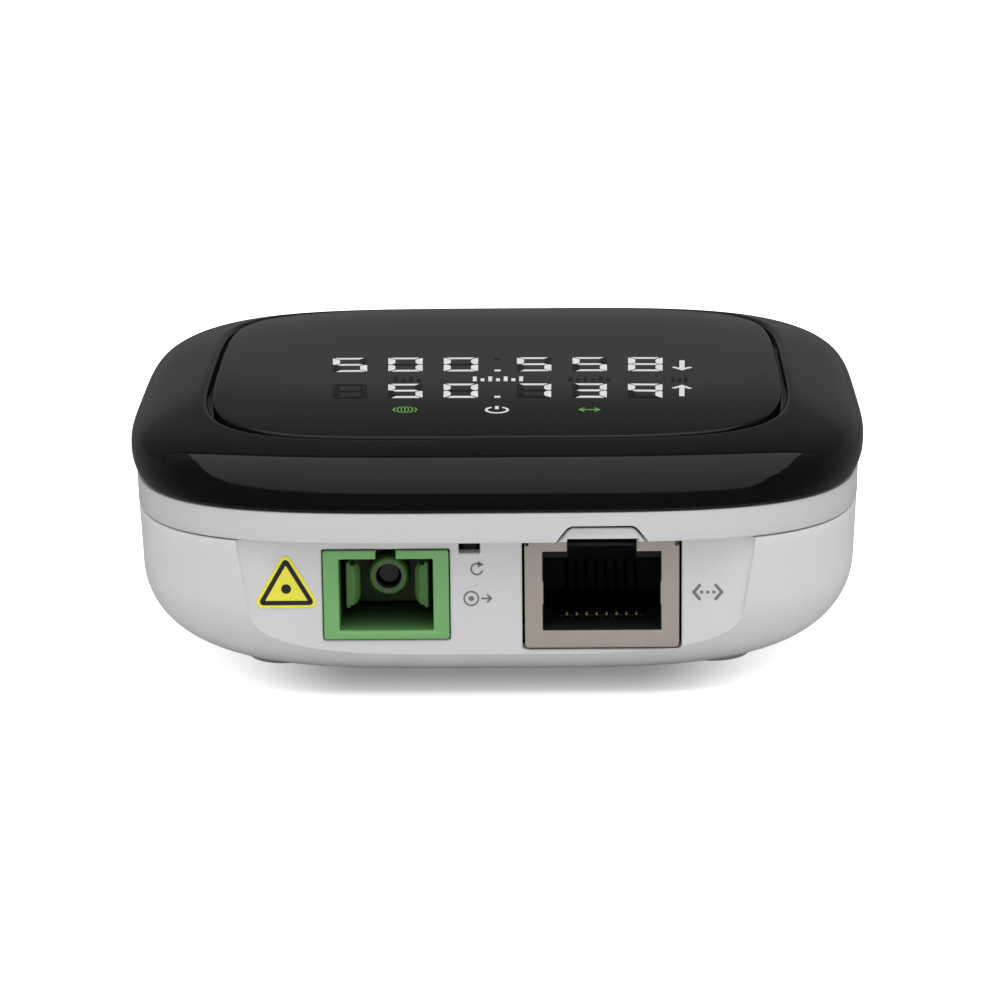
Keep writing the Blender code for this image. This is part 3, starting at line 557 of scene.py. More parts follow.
def make_materials():
    moulded = dict(mottle=0.012, grain=0.004, grain_scale=4.0, soft=0.06)
    finish("white_plastic", (0.605, 0.607, 0.61), 0.46, **moulded)
    # Painted shade: the collar's white is a little darker than white_plastic, and darker still where it faces
    # left or right.
    darken_sides(finish("collar_white_shaded", (0.585, 0.587, 0.59), 0.46, **moulded), 0.84)
    finish("black_gloss", (0.0035, 0.0035, 0.0038), 0.045, mottle=0.15, uneven=0.012, grain=0.0002,
           grain_scale=0.12)
    finish("smoked_window", (0.0055, 0.0055, 0.006), 0.05, mottle=0.1, uneven=0.015, grain=0.0002,
           grain_scale=0.1)
    finish("grey_rubber", (0.60, 0.60, 0.61), 0.75, mottle=0.1, grain=0.012, grain_scale=6.0, specular=0.3)
    finish("steel", (0.55, 0.55, 0.56), 0.34, 1.0, grain=0.003, grain_scale=3.0, wear=(0.8, 0.8, 0.8))
    finish("label_paper", (0.72, 0.72, 0.73), 0.6, mottle=0.02, grain=0.004, grain_scale=12.0)
    finish("sticker_yellow", (0.80, 0.74, 0.05), 0.42, mottle=0.02, grain=0.002, grain_scale=8.0)
    # Painted shade: sc_green, sc_holder_green, ceramic, transceiver_metal, contact_gold and jack_black grow
    # darker with their depth behind the ports' front, for the shade inside the ports; sc_holder_green also
    # gets a painted lighter band about 6 mm deep.
    paint_depth_shade(finish("sc_green", (0.165, 0.40, 0.135), 0.42, mottle=0.05, grain=0.003),
                  ((0.08, 1.0), (0.4, 0.5), (7.0, 0.1)))
    paint_depth_shade(finish("sc_holder_green", (0.10, 0.25, 0.06), 0.45, mottle=0.06, grain=0.003),
                  ((3.0, 1.0), (6.0, 1.3), (7.2, 1.2), (8.4, 0.3), (9.6, 0.12)))
    # Painted shade: the sleeve's ceramic is given a dark grey, for the shade deep in the SC port's bore.
    paint_depth_shade(finish("ceramic", (0.07, 0.07, 0.066), 0.3, mottle=0.03, grain=0.001, grain_scale=9.0),
                  ((6.9, 1.0), (7.4, 0.2), (9.0, 0.02)))
    paint_depth_shade(finish("transceiver_metal", (0.62, 0.60, 0.56), 0.33, 1.0, grain=0.004, grain_scale=2.0,
                         brushed=(1.0, 0.06, 1.0), wear=(0.85, 0.83, 0.8)),
                  ((4.0, 1.0), (7.0, 0.6), (9.0, 0.1), (11.0, 0.03), (17.0, 0.02)))
    finish("gold_plate", (0.83, 0.62, 0.26), 0.24, 1.0, grain=0.001, grain_scale=6.0)
    paint_depth_shade(finish("contact_gold", (0.72, 0.54, 0.24), 0.4, 1.0, grain=0.001, grain_scale=6.0),
                  ((1.0, 1.0), (3.5, 0.3), (3.74, 0.08), (3.9, 0.02), (13.0, 0.015)))
    overlay(finish("flex_film", (0.50, 0.24, 0.05), 0.35, coat=0.4), stripes(1.6, 0.45), (0.62, 0.33, 0.10))
    finish("nickel", (0.43, 0.395, 0.345), 0.5, 0.35, mottle=0.07, mottle_scale=0.3, grain=0.004,
           grain_scale=2.5, brushed=(1.0, 1.0, 0.08), wear=(0.62, 0.59, 0.53))
    finish("black_plastic", (0.012, 0.012, 0.013), 0.48, mottle=0.1, grain=0.004)
    paint_depth_shade(finish("jack_black", (0.011, 0.011, 0.012), 0.55, mottle=0.1, grain=0.003, specular=0.25),
                  ((2.0, 1.0), (3.6, 0.8), (13.0, 0.5)))
    board = finish("board_green", (0.015, 0.11, 0.045), 0.32, mottle=0.1, coat=0.3)
    overlay(overlay(board, board_traces, (0.03, 0.20, 0.08)), board_pads, (0.60, 0.50, 0.28))
    finish("heat_pad_grey", (0.33, 0.36, 0.40), 0.8, mottle=0.1, grain=0.02, grain_scale=3.0)
    finish("aluminium", (0.70, 0.71, 0.73), 0.34, 1.0, grain=0.004, grain_scale=3.0,
           brushed=(1.0, 0.05, 1.0), wear=(0.86, 0.86, 0.88))
    finish("ferrite", (0.09, 0.09, 0.10), 0.6, mottle=0.15, grain=0.01, grain_scale=4.0)
    finish("diffuser_film", (0.85, 0.86, 0.86), 0.55, mottle=0.01, grain=0.003, grain_scale=8.0, soft=0.1)
    overlay(finish("socket_plastic", (0.70, 0.68, 0.62), 0.48, mottle=0.03, grain=0.003), stripes(1.0, 0.12),
            (0.45, 0.44, 0.42))
    finish("wall_print", (0.17, 0.17, 0.185), 0.55, mottle=0.05, grain=0.002, grain_scale=10.0)
    finish("sticker_black", (0.012, 0.013, 0.02), 0.4, mottle=0.05)
    finish("display_unlit", (0.002, 0.002, 0.0022), 0.3, mottle=0.1, specular=0.22)
    glow("display_white", (1.0, 0.995, 0.98), 0.57)
    glow("display_green", (0.22, 0.62, 0.12), 0.42)


make_materials()


# ---------------------------------------------------------------- casing

def rounding(inset, z_start, across, up, steps):
    """(inset, z) pairs down a superelliptic quarter, from the vertical wall to the flat base."""
    power = 2 / ROUND_POWER
    return [(inset + across * (1 - max(c, 0.0) ** power), z_start - up * s**power) for s, c in quarter(steps)]


def rounded_ring(wall_inset, inset, z, front):
    """A ring of the rounded bottom, which draws in faster sideways than from front to back."""
    sideways = wall_inset + ROUND_SIDEWAYS * (inset - wall_inset)
    return plan_ring(HALF_X - sideways, HALF_Y - inset, POWER, z, front)


def opening(low, high, radius):
    """A cutter through the port wall, with a flare that rounds the opening's front edge."""
    flared = radius + OPENING_FLARE
    levels = [(WALL_Y - 1.0, flared)]
    levels += [(WALL_Y + OPENING_FLARE * s, radius + OPENING_FLARE * (1 - s)) for s, _ in quarter(3)]
    levels.append((WALL_Y + OPENING_DEPTH, radius))
    return stack(rectangle(low, high, radius), levels, "Y")


def pocket_cutter(profile, top):
    """The port wall lies in a pocket that ends where the body's rounding falls away behind its rim."""
    rim_y = WALL_Y - POCKET_DEPTH
    heights = np.linspace(BASE_Z + 1.0, top, POCKET_LEVELS)
    order = sorted(profile, key=lambda pair: pair[1])
    insets = np.interp(heights, [z for _, z in order], [inset for inset, _ in order])
    half_x = HALF_X - WALL_INSET - ROUND_SIDEWAYS * (insets - WALL_INSET)
    share = 1 - (-rim_y / (HALF_Y - insets)) ** POWER
    inside = share > 0
    edge = half_x[inside] * share[inside] ** (1 / POWER)
    wide = edge > POCKET_MIN_HALF
    right = list(zip(edge[wide], heights[inside][wide] - POCKET_DROP))
    core = right + [(-x, z) for x, z in right[::-1]]
    return loft([[(x, WALL_Y + y, z) for x, z in swollen(core, growth)] for y, growth in POCKET_FLARE])


def base_shell():
    wall_start = BASE_Z + ROUND_UP
    back_y = WALL_Y + PORT_WALL
    top = SEAM_Z - SEAM_LINE
    outer = rounding(WALL_INSET, wall_start, ROUND_ACROSS, ROUND_UP, 30)[::-1]
    inner = rounding(WALL_INSET + WALL, wall_start, ROUND_ACROSS - FLOOR, ROUND_UP - FLOOR, 10)
    rings = [rounded_ring(WALL_INSET, inset, z, -HALF_Y) for inset, z in outer]
    for share in [k / 8 for k in range(1, 9)]:
        inset = WALL_INSET + (WALL_INSET_TOP - WALL_INSET) * share
        rings.append(body_ring(inset, wall_start + (top - EDGE - wall_start) * share))
    rings += [body_ring(WALL_INSET_TOP + EDGE * (1 - c), top - EDGE * (1 - s)) for s, c in quarter(3)[1:]]
    rings.append(body_ring(WALL_INSET_TOP + WALL, top, back_y))
    rings += [rounded_ring(WALL_INSET + WALL, inset, z, back_y) for inset, z in inner]

    joins, cuts = [], []
    head = BASE_Z + FOOT_RECESS
    bore = [(BASE_Z - 0.5, 4.6), (BASE_Z, 4.42), (BASE_Z + 0.12, 4.3), (head, 4.3), (head, 2.4)]
    bore += [(head + 2.2, 2.4), (head + 2.2, SCREW_PASSAGE), (BOSS_TOP + 1.0, SCREW_PASSAGE)]
    boss = [(BASE_Z + 0.8, 3.6), (BASE_Z + 3.4, 3.3), (BOSS_TOP - 0.3, 3.2), (BOSS_TOP, 2.9)]
    for place in FEET:
        cuts.append(revolve(bore, place, "Z"))
        joins.append(revolve(boss, place, "Z"))
    board_low = node_box("main_board")[0].z
    for place in (middle("board_screw_1"), middle("board_screw_2")):
        joins.append(revolve([(2.2, 2.6), (board_low - GAP, 2.4)], place, "Z"))
        cuts.append(revolve([(2.1, 1.0), (board_low + 1.0, 1.0)], place, "Z"))
    recess = rectangle(LABEL_LOW.xy, LABEL_HIGH.xy, LABEL_CORNER)
    cuts.append(stack(recess, [(0.0, 2.0), (BASE_Z, 1.85), (BASE_Z + 0.12, 1.7), (BASE_Z + 0.3, 1.7)], "Z"))
    above = SEAM_Z + 2.0
    cuts.append(opening((SC_LOW.x - 0.12, SC_LOW.z - 0.14), (SC_HIGH.x + 0.12, SC_HIGH.z + 0.12), 0.15))
    cuts.append(opening((JACK_LOW.x - 0.26, JACK_LOW.z - 0.2), (JACK_HIGH.x + 0.26, above), 0.3))
    cuts.append(opening((RESET_X - 1.08, SEAM_Z - 1.75), (RESET_X + 1.08, above), 0.12))
    pocket = pocket_cutter(outer + [(WALL_INSET_TOP, top)], above - SEAM_LINE)
    piece("base_shell", loft(rings), "white_plastic", ["bottom_shell"], steps=[(joins, [pocket]), cut(*cuts)])


def collar_band():
    profile = [(COLLAR_INSET + EDGE * (1 - s), SEAM_Z + EDGE * (1 - c)) for s, c in quarter(3)]
    profile += [(COLLAR_INSET - 0.02, SEAM_Z + 1.6), (COLLAR_INSET - 0.05, COLLAR_TOP - 0.1)]
    profile += [(COLLAR_INSET + 0.05, COLLAR_TOP), (COLLAR_INNER, COLLAR_TOP)]
    profile += [(COLLAR_INNER, COLLAR_FOOT_Z + 0.6), (COLLAR_FOOT, COLLAR_FOOT_Z), (COLLAR_FOOT, SEAM_Z)]
    rings = [body_ring(inset, z) for inset, z in profile]

    steps, passages = [], []
    post_low = BOSS_TOP + GAP
    for place in FEET:
        reach = ARM_REACH if place.x > 0 else -ARM_REACH
        steps.append(join(slab((place.x, place.y - ARM_HALF, SEAM_Z + 0.3),
                               (reach, place.y + ARM_HALF, COLLAR_TOP - 0.2), "Z", 0.3, 0.1)))
        post = [(post_low + z, radius) for z, radius in POST_LEVELS] + [(COLLAR_TOP - 0.1, 3.0)]
        steps.append(join(revolve(post, place, "Z")))
        passage = [(post_low - 1.0, SCREW_PASSAGE), (post_low + 5.1, SCREW_PASSAGE)]
        passages.append(revolve(passage, place, "Z", 24))
    steps.append(cut(*passages))

    x, front, face = JACK_X, -HALF_Y - 1.0, -HALF_Y + COLLAR_INSET
    core = relief_core(x)
    inner = RELIEF_CORNER - RELIEF_GROOVE
    steps.append(cut(stack(core, [(front, RELIEF_CORNER), (WALL_Y - 0.9, RELIEF_CORNER)], "Y", 8)))
    tongue = [(face + 0.42, inner - 0.1), (face + 0.52, inner), (WALL_Y - 0.3, inner)]
    steps.append(join(stack(core, tongue, "Y", 8)))
    back = WALL_Y + 2.0
    steps.append(cut(slab((x - 8.0, front, SEAM_Z - 4.0), (x + 8.0, back, SEAM_Z), "Y", 0.01, 0.0)))
    steps.append(cut(slab((x - 3.5, front, SEAM_Z - 1.0), (x + 3.7, back, SEAM_Z + 0.32), "Y", 0.1, 0.0)))
    piece("collar_band", loft(rings, closed=True), "collar_white_shaded", ["mid_collar"], steps=steps)

    def on_face(u, v, height):
        return (u, face + 0.5 - height, v)

    # Painted shade: a black strip laid in the relief's groove stands for the shadow in the gap round the
    # tongue.
    groove = outline(core, RELIEF_CORNER - RELIEF_GROOVE / 2, 8)
    path = [point for point in groove if point[1] > SEAM_Z + 0.02]
    gap_shade = stroke(path, RELIEF_GROOVE + 0.06, on_face, low=-1.0, high=0.0)
    piece("relief_gap_shade", gap_shade, "black_plastic")


def relief_core(x):
    """The relief over the plug's latch: a trapezoid that runs out through the collar's lower edge."""
    high, low_z = SEAM_Z + RELIEF_RISE - RELIEF_CORNER, SEAM_Z - 1.0
    top = RELIEF_HALF_TOP - RELIEF_CORNER * 0.45
    low = top + (RELIEF_HALF_LOW - RELIEF_HALF_TOP) / RELIEF_RISE * (high - low_z)
    return [(x + top, high), (x - top, high), (x - low, low_z), (x + low, low_z)]


def shoulder(share, window_inset):
    """Inset and height on the cover's shoulder, from the widest ring (0) to the lip round the window (1)."""
    end = window_inset - LIP_RADIUS
    end_angle = np.arccos((1 - end / SHOULDER_ACROSS) ** (SHOULDER_POWER / 2))
    angle = share * end_angle
    inset = SHOULDER_ACROSS * (1 - cos(angle) ** (2 / SHOULDER_POWER))
    return inset, WIDEST_Z + SHOULDER_UP * sin(angle) ** (2 / SHOULDER_POWER)


def side_lift(across, along):
    """The window's rim rises towards the middle of the left and right sides."""
    return SIDE_LIFT * across**2 * (1 - along**2)


def cover_ring(inset, z, window_inset):
    """The plan changes from the body's superellipse to the window's as the inset grows."""
    share = inset / window_inset
    window_x = HALF_X - WINDOW_HIGH.x - GAP
    half_x = HALF_X - inset * (1.1 + (window_x / window_inset - 1.1) * share)
    ring = plan_ring(half_x, HALF_Y - inset, POWER + (WINDOW_POWER - POWER) * share, z)
    ring[:, 2] += share**2 * side_lift(ring[:, 0] / half_x, ring[:, 1] / (HALF_Y - inset))
    return stretched(ring, share**2)


def stretched(ring, share=1.0):
    """The window reaches a little further towards the back than towards the front."""
    ring[:, 1] *= np.where(ring[:, 1] > 0, 1 + BACK_STRETCH * share, 1.0)
    return ring


def cover_shell():
    window_inset = HALF_Y - WINDOW_HIGH.y - GAP
    edge, side_z = COVER_EDGE, COVER_Z + COVER_EDGE
    rings = [body_ring(SIDE_INSET + edge * (1 - s), COVER_Z + edge * (1 - c)) for s, c in quarter(3)]
    for share in [k / 8 for k in range(1, 8)]:
        rings.append(body_ring(SIDE_INSET * (1 - share) ** 2.2, side_z + (WIDEST_Z - side_z) * share))
    for k in range(41):
        inset, z = shoulder(k / 40, window_inset)
        rings.append(cover_ring(inset, z, window_inset))
    for s, c in quarter(6)[1:]:
        inset = window_inset - LIP_RADIUS * (1 - s)
        rings.append(cover_ring(inset, z - LIP_RADIUS * (1 - c), window_inset))
    shelf = WINDOW_LOW.z - GAP
    under = shelf - TRAY
    rings.append(stretched(plan_ring(WINDOW_HIGH.x + GAP, WINDOW_HIGH.y + GAP, WINDOW_POWER, shelf)))
    rings += [plan_ring(*APERTURE, shelf), plan_ring(*APERTURE, under)]
    inner = [(4.3, under), (2.6, WIDEST_Z + 0.6), (2.2, WIDEST_Z - 0.6), (2.0, COVER_Z)]
    rings += [body_ring(inset, z) for inset, z in inner]
    lugs = []
    low, high = COVER_LOW.z, under + 0.3
    for side in (-1, 1):
        far_y, far_x, near = side * (HALF_Y - 5.6), side * (HALF_X - 5.6), side * 1.1
        lugs.append(slab((-5.0, far_y, low), (5.0, far_y + near, high), "Y", 0.3, 0.1))
        lugs.append(slab((far_x, -5.0, low), (far_x + near, 5.0, high), "X", 0.3, 0.1))
    skin = loft(rings, closed=True)
    piece("cover_shell", skin, "black_gloss", ["top_cover"], steps=[join(*lugs)], sharp=40)


def crown(x, y):
    """Height of the window's surface."""
    across, along = x / WINDOW_X, y / (WINDOW_Y * (1 + BACK_STRETCH) if y > 0 else WINDOW_Y)
    gauge = (abs(across) ** WINDOW_POWER + abs(along) ** WINDOW_POWER) ** (1 / WINDOW_POWER)
    rim = side_lift(across / max(gauge, 0.01), along / max(gauge, 0.01))
    return RIM_Z + CROWN - (CROWN - rim) * min(gauge, 1.0) ** CROWN_POWER


def window_ring(scale, drop=0.0):
    ring = plan_ring(WINDOW_X * scale, WINDOW_Y * scale, WINDOW_POWER, 0.0)
    rim = side_lift(ring[:, 0] / (WINDOW_X * scale), ring[:, 1] / (WINDOW_Y * scale))
    ring[:, 2] = RIM_Z + CROWN - (CROWN - rim) * scale**CROWN_POWER - drop
    return stretched(ring)


def window_panel():
    rings = [stretched(plan_ring(WINDOW_X, WINDOW_Y, WINDOW_POWER, WINDOW_LOW.z))]
    for s, c in quarter(5)[:-1]:
        rings.append(window_ring(1 - WINDOW_EDGE * (1 - c) / WINDOW_Y, WINDOW_EDGE * (1 - s)))
    rings += [window_ring((1 - WINDOW_EDGE / WINDOW_Y) * (1 - k / 28)) for k in range(28)]
    piece("window_panel", loft(rings), "smoked_window", ["display_window"], sharp=60)


def feet():
    for i, place in enumerate(FEET, 1):
        low, high = node_box(f"rubber_foot_{i}")
        radius = (high.x - low.x) / 2
        profile = [(0.12, 0.001), (0.12, 1.2), (0.0, 1.4), (0.0, 2.2), (0.1, 2.35), (0.1, 2.6), (0.0, 2.75)]
        profile += [(0.0, radius - 0.4), (0.06, radius - 0.18), (0.18, radius - 0.05), (0.34, radius)]
        profile += [(high.z, radius), (high.z, 0.001)]
        piece(f"foot_pad_{i}", revolve(profile, place, "Z", 64), "grey_rubber", [f"rubber_foot_{i}"])


# ---------------------------------------------------------------- flat marks on a surface

def on_window(u, v, height):
    """The display's layout draws in towards the front, and is turned a little."""
    x = u * (1 + DISPLAY_TAPER * v) - 0.6 * DISPLAY_TURN * v
    y = v - DISPLAY_TURN * u
    return (x, y, crown(x, y) + height)


def on_wall(u, v, height):
    return (u, WALL_Y - height, v)


def on_sticker(u, v, height):
    return (u, WALL_Y - 0.1 - height, v)


def on_label(u, v, height):
    return (u, v, LABEL_LOW.z - height)


def tile(polygon, surface, low=-0.02, high=0.03):
    """A thin plate over a polygon, lying on a surface."""
    return loft([[surface(u, v, height) for u, v in polygon] for height in (low, high)])


def oblong(u0, v0, u1, v1, surface):
    return tile([(u0, v0), (u1, v0), (u1, v1), (u0, v1)], surface)


def stroke(path, width, surface, closed=False, low=-0.02, high=0.03):
    """A thin ribbon of even width along a path of (u, v) points."""
    rings = []
    count = len(path)
    for i, here in enumerate(path):
        before = path[i - 1] if i or closed else here
        after = path[(i + 1) % count] if i < count - 1 or closed else here
        along = Vector((after[0] - before[0], after[1] - before[1])).normalized()
        into = Vector((here[0] - before[0], here[1] - before[1]))
        stretch = 1.0 if into.length == 0 else 1 / max(abs(along.dot(into.normalized())), 0.5)
        side = Vector((-along.y, along.x)) * width / 2 * stretch
        left, right = Vector(here) + side, Vector(here) - side
        rings.append([surface(*left, low), surface(*right, low), surface(*right, high), surface(*left, high)])
    return loft(rings, closed=closed)


def arc(centre, radius, start, end, steps=24, squeeze=1.0):
    """Points of an arc between two angles in degrees. squeeze narrows it sideways."""
    points = []
    for k in range(steps + 1):
        angle = radians(start + (end - start) * k / steps)
        points.append((centre[0] + squeeze * radius * cos(angle), centre[1] + radius * sin(angle)))
    return points


def ring_path(centre, radius, steps=32):
    return arc(centre, radius, 0, 360 * (1 - 1 / steps), steps - 1)


def chevron(u, v, point, half):
    """Three points of an arrow head: its ends lie at u, and its tip lies a little further."""
    return [(u, v + half), (u + point, v), (u, v - half)]


# ---------------------------------------------------------------- display

READOUT = ("500558", " 50739")
SEGMENTS = {"0": "abcdef", "3": "abcdg", "5": "acdfg", "7": "abc", "8": "abcdefg", "9": "abcfg", " ": ""}
DISPLAY_TAPER = 0.00226
DISPLAY_TURN = 0.018
DIGIT_WIDTH = 3.7
DIGIT_DEPTHS = (6.05, 5.5)
POST = 0.76
BAR = 0.6
COLUMN_START = -17.78
COLUMN_PITCH = 5.97
COLUMN_BREAK = 1.9
ROW_TOPS = (0.0, -11.45)
UNIT_Y = -9.4
ARROW_X = 19.75
ICON_Y = -21.0


def digit_polygons(left, top, depth):
    """The seven segments of one digit as polygons, by letter."""
    w, t, b = DIGIT_WIDTH, POST, BAR
    half = depth / 2
    bar = [(0.3, 0.0), (w - 0.4, 0.0), (w - 0.85, b), (0.75, b)]
    post = [(0.0, 0.16), (0.3, 0.4), (t - 0.12, 0.78), (t, 1.1), (t, half - 0.8), (t - 0.2, half - 0.34)]
    post += [(0.2, half - 0.16), (0.0, half - 0.36)]
    across = [(w - u, v) for u, v in post]
    middle_bar = [(0.5, half), (0.85, half - b / 2), (w - 0.85, half - b / 2)]
    middle_bar += [(w - 0.5, half), (w - 0.85, half + b / 2), (0.85, half + b / 2)]
    raw = {"a": bar, "b": across, "f": post, "g": middle_bar, "e": [(u, depth - v) for u, v in post]}
    raw["c"] = [(u, depth - v) for u, v in across]
    raw["d"] = [(w - u, depth - v) for u, v in bar]
    return {name: [(left + u, top - v) for u, v in points] for name, points in raw.items()}


def column_left(column):
    return COLUMN_START + COLUMN_PITCH * column + (COLUMN_BREAK if column > 2 else 0.0)


def readout():
    lit, unlit = [], []
    point_x = column_left(3) - COLUMN_BREAK / 2 - (COLUMN_PITCH - DIGIT_WIDTH) / 2
    for row, top, depth in zip(READOUT, ROW_TOPS, DIGIT_DEPTHS):
        for column, digit in enumerate(row):
            for name, polygon in digit_polygons(column_left(column), top, depth).items():
                target = lit if name in SEGMENTS[digit] else unlit
                target.append(tile(polygon, on_window))
        low = top - depth
        lit.append(oblong(point_x - 0.33, low, point_x + 0.33, low + BAR, on_window))
    low, high = ROW_TOPS[0] - BAR - 0.3, ROW_TOPS[0] - 0.3
    unlit.append(oblong(point_x - 0.33, low, point_x + 0.33, high, on_window))
    lit += direction_arrow(ROW_TOPS[0] - 3.3, -1) + direction_arrow(ROW_TOPS[1] - 2.6, 1)
    lit += unit_marks(0.0, 5.4, 7) + power_icon()
    for centre, width, bars in ((-9.75, 2.9, 4), (9.8, 4.5, 6), (19.5, 1.7, 3)):
        unlit += unit_marks(centre, width, bars)
    piece("display_lit", merged(lit), "display_white")
    piece("display_dark", merged(unlit), "display_unlit")
    piece("display_icons", merged(globe_icon() + link_icon()), "display_green")


def direction_arrow(centre, way):
    """An arrow beside a row of digits, pointing to the front (-1) or to the back (1)."""
    x = ARROW_X
    tip = centre + way * 2.1
    wings = [(x - 0.95, tip - way * 1.15), (x - 0.5, tip - way * 0.72), (x, tip - way * 0.1)]
    wings += [(x + 0.5, tip - way * 0.72), (x + 0.95, tip - way * 1.15)]
    shaft = oblong(x - 0.28, centre - way * 2.0, x + 0.28, tip - way * 0.3, on_window)
    return [shaft, stroke(wings, 0.4, on_window)]


def unit_marks(centre, width, bars):
    """A blank stand-in for a unit: short upright bars, every other one about half as tall."""
    marks = []
    pitch = width / (bars - 0.5)
    low = UNIT_Y - 0.95
    for k in range(bars):
        x = centre - width / 2 + k * pitch
        marks.append(oblong(x, low, x + pitch / 2, low + (1.1 if k % 2 else 1.9), on_window))
    return marks


def power_icon():
    x, y = -0.1, ICON_Y - 0.1
    bar = [(x, y + 0.25), (x, y + 1.15)]
    return [stroke(arc((x, y), 0.9, -240, 60, squeeze=1.3), 0.27, on_window), stroke(bar, 0.4, on_window)]


def globe_icon():
    """A globe of meridians between two brackets."""
    x, y = -10.0, ICON_Y
    marks = [stroke([(x, y - 0.85), (x, y + 0.85)], 0.13, on_window)]
    for side in (-1, 1):
        outer = (125, 235) if side < 0 else (55, -55)
        inner = (110, 250) if side < 0 else (70, -70)
        marks.append(stroke(arc((x, y), 1.1, *outer, 12, 0.75), 0.13, on_window))
        marks.append(stroke(arc((x, y), 1.0, *inner, 12, 0.4), 0.11, on_window))
        marks.append(stroke(chevron(x + side * 1.0, y, side * 0.3, 0.62), 0.13, on_window))
    return marks


def link_icon():
    """A double-headed arrow."""
    x, y = 9.84, ICON_Y
    heads = [stroke(chevron(x + side * 0.55, y, side * 0.53, 0.55), 0.17, on_window) for side in (-1, 1)]
    return [stroke([(x - 0.95, y), (x + 0.95, y)], 0.17, on_window)] + heads


# ---------------------------------------------------------------- sticker, label and prints

def port_sticker():
    low, high = node_box("port_sticker")
    radius = 0.62
    height = high.z - low.z - 2 * radius
    centre = ((low.x + high.x) / 2, low.z + radius + height / 3)

    def triangle(shrink):
        return arc(centre, height * 2 / 3 - shrink, 90, 330, 2)

    levels = [(WALL_Y - 0.1, radius - 0.05), (WALL_Y - 0.05, radius), (WALL_Y + 0.05, radius)]
    piece("sticker_plate", stack(triangle(0.0), levels, "Y", 10), "sticker_yellow", ["port_sticker"])
    border = stroke(outline(triangle(0.12), 0.14), 0.46, on_sticker, True, high=0.02)
    dot = tile(ring_path(centre, 0.5, 40), on_sticker, high=0.02)
    piece("sticker_marks", merged([border, dot]), "sticker_black")


def wall_marks():
    """Grey pictograms on the port wall: reset, fibre and network link."""
    thin = 0.17
    x, z = RESET_X + 0.75, SEAM_Z - 3.4
    turn = arc((x, z), 0.58, 60, 345)
    u, v = turn[0]
    marks = [stroke(turn, thin, on_wall)]
    marks.append(tile([(u + 0.42, v - 0.02), (u - 0.2, v + 0.36), (u - 0.22, v - 0.36)], on_wall))
    z = SEAM_Z - 6.5
    marks.append(stroke(ring_path((x - 0.6, z), 0.72), thin, on_wall, closed=True))
    marks.append(tile(ring_path((x - 0.6, z), 0.27, 24), on_wall))
    marks.append(stroke([(x + 0.42, z), (x + 1.35, z)], thin, on_wall))
    marks.append(stroke(chevron(x + 1.0, z, 0.42, 0.42), thin, on_wall))
    x, z = JACK_HIGH.x + 2.88, JACK_LOW.z + 5.78
    for side in (-1, 1):
        head = chevron(x + side * 0.82, z, side * 0.6, 0.72)
        marks.append(stroke(head, 0.3, on_wall))
        marks += [tile(ring_path(end, 0.15, 16), on_wall, high=0.031) for end in (head[0], head[2])]
    marks += [tile(ring_path((x + 0.61 * k, z), thin, 20), on_wall) for k in (-1, 0, 1)]
    piece("wall_marks", merged(marks), "wall_print")


def label():
    low, high, corner = LABEL_LOW, LABEL_HIGH, LABEL_CORNER
    levels = [(low.z, corner - 0.04), (low.z + 0.04, corner), (high.z, corner)]
    sheet = stack(rectangle(low.xy, high.xy, corner), levels, "Z", 10)
    piece("label_sheet", sheet, "label_paper", ["base_label"])
    border = outline(rectangle((low.x + 1.0, low.y + 1.0), (high.x - 1.0, high.y - 1.0), 0.8), 0.8)
    blank_box = outline(rectangle((6.5, -5.5), (12.5, 5.5), 0.4), 0.4)
    marks = [stroke(path, 0.15, on_label, closed=True) for path in (border, blank_box)]
    for k in range(5):
        y = high.y - 3.4 - 2.6 * k
        marks.append(stroke([(low.x + 2.5, y), (1.0 if k % 2 else 4.0, y)], 0.25, on_label))
    piece("label_marks", merged(marks), "wall_print")


# ---------------------------------------------------------------- SC port

SC_MOUTH = (4.76, 3.78)
SC_BACK_WALL = 1.3
SC_KEY_HALF = 1.03
SC_KEY_REACH = 6.0
HOLDER_PLATE = 9.0
HOLDER_BORE = 1.72
SLEEVE_RADIUS = 1.55
SLEEVE_BORE = 1.25
# Radius of the holder's bore in front, and of the sleeve's bevelled ends.
BEVEL_RADIUS = 1.42


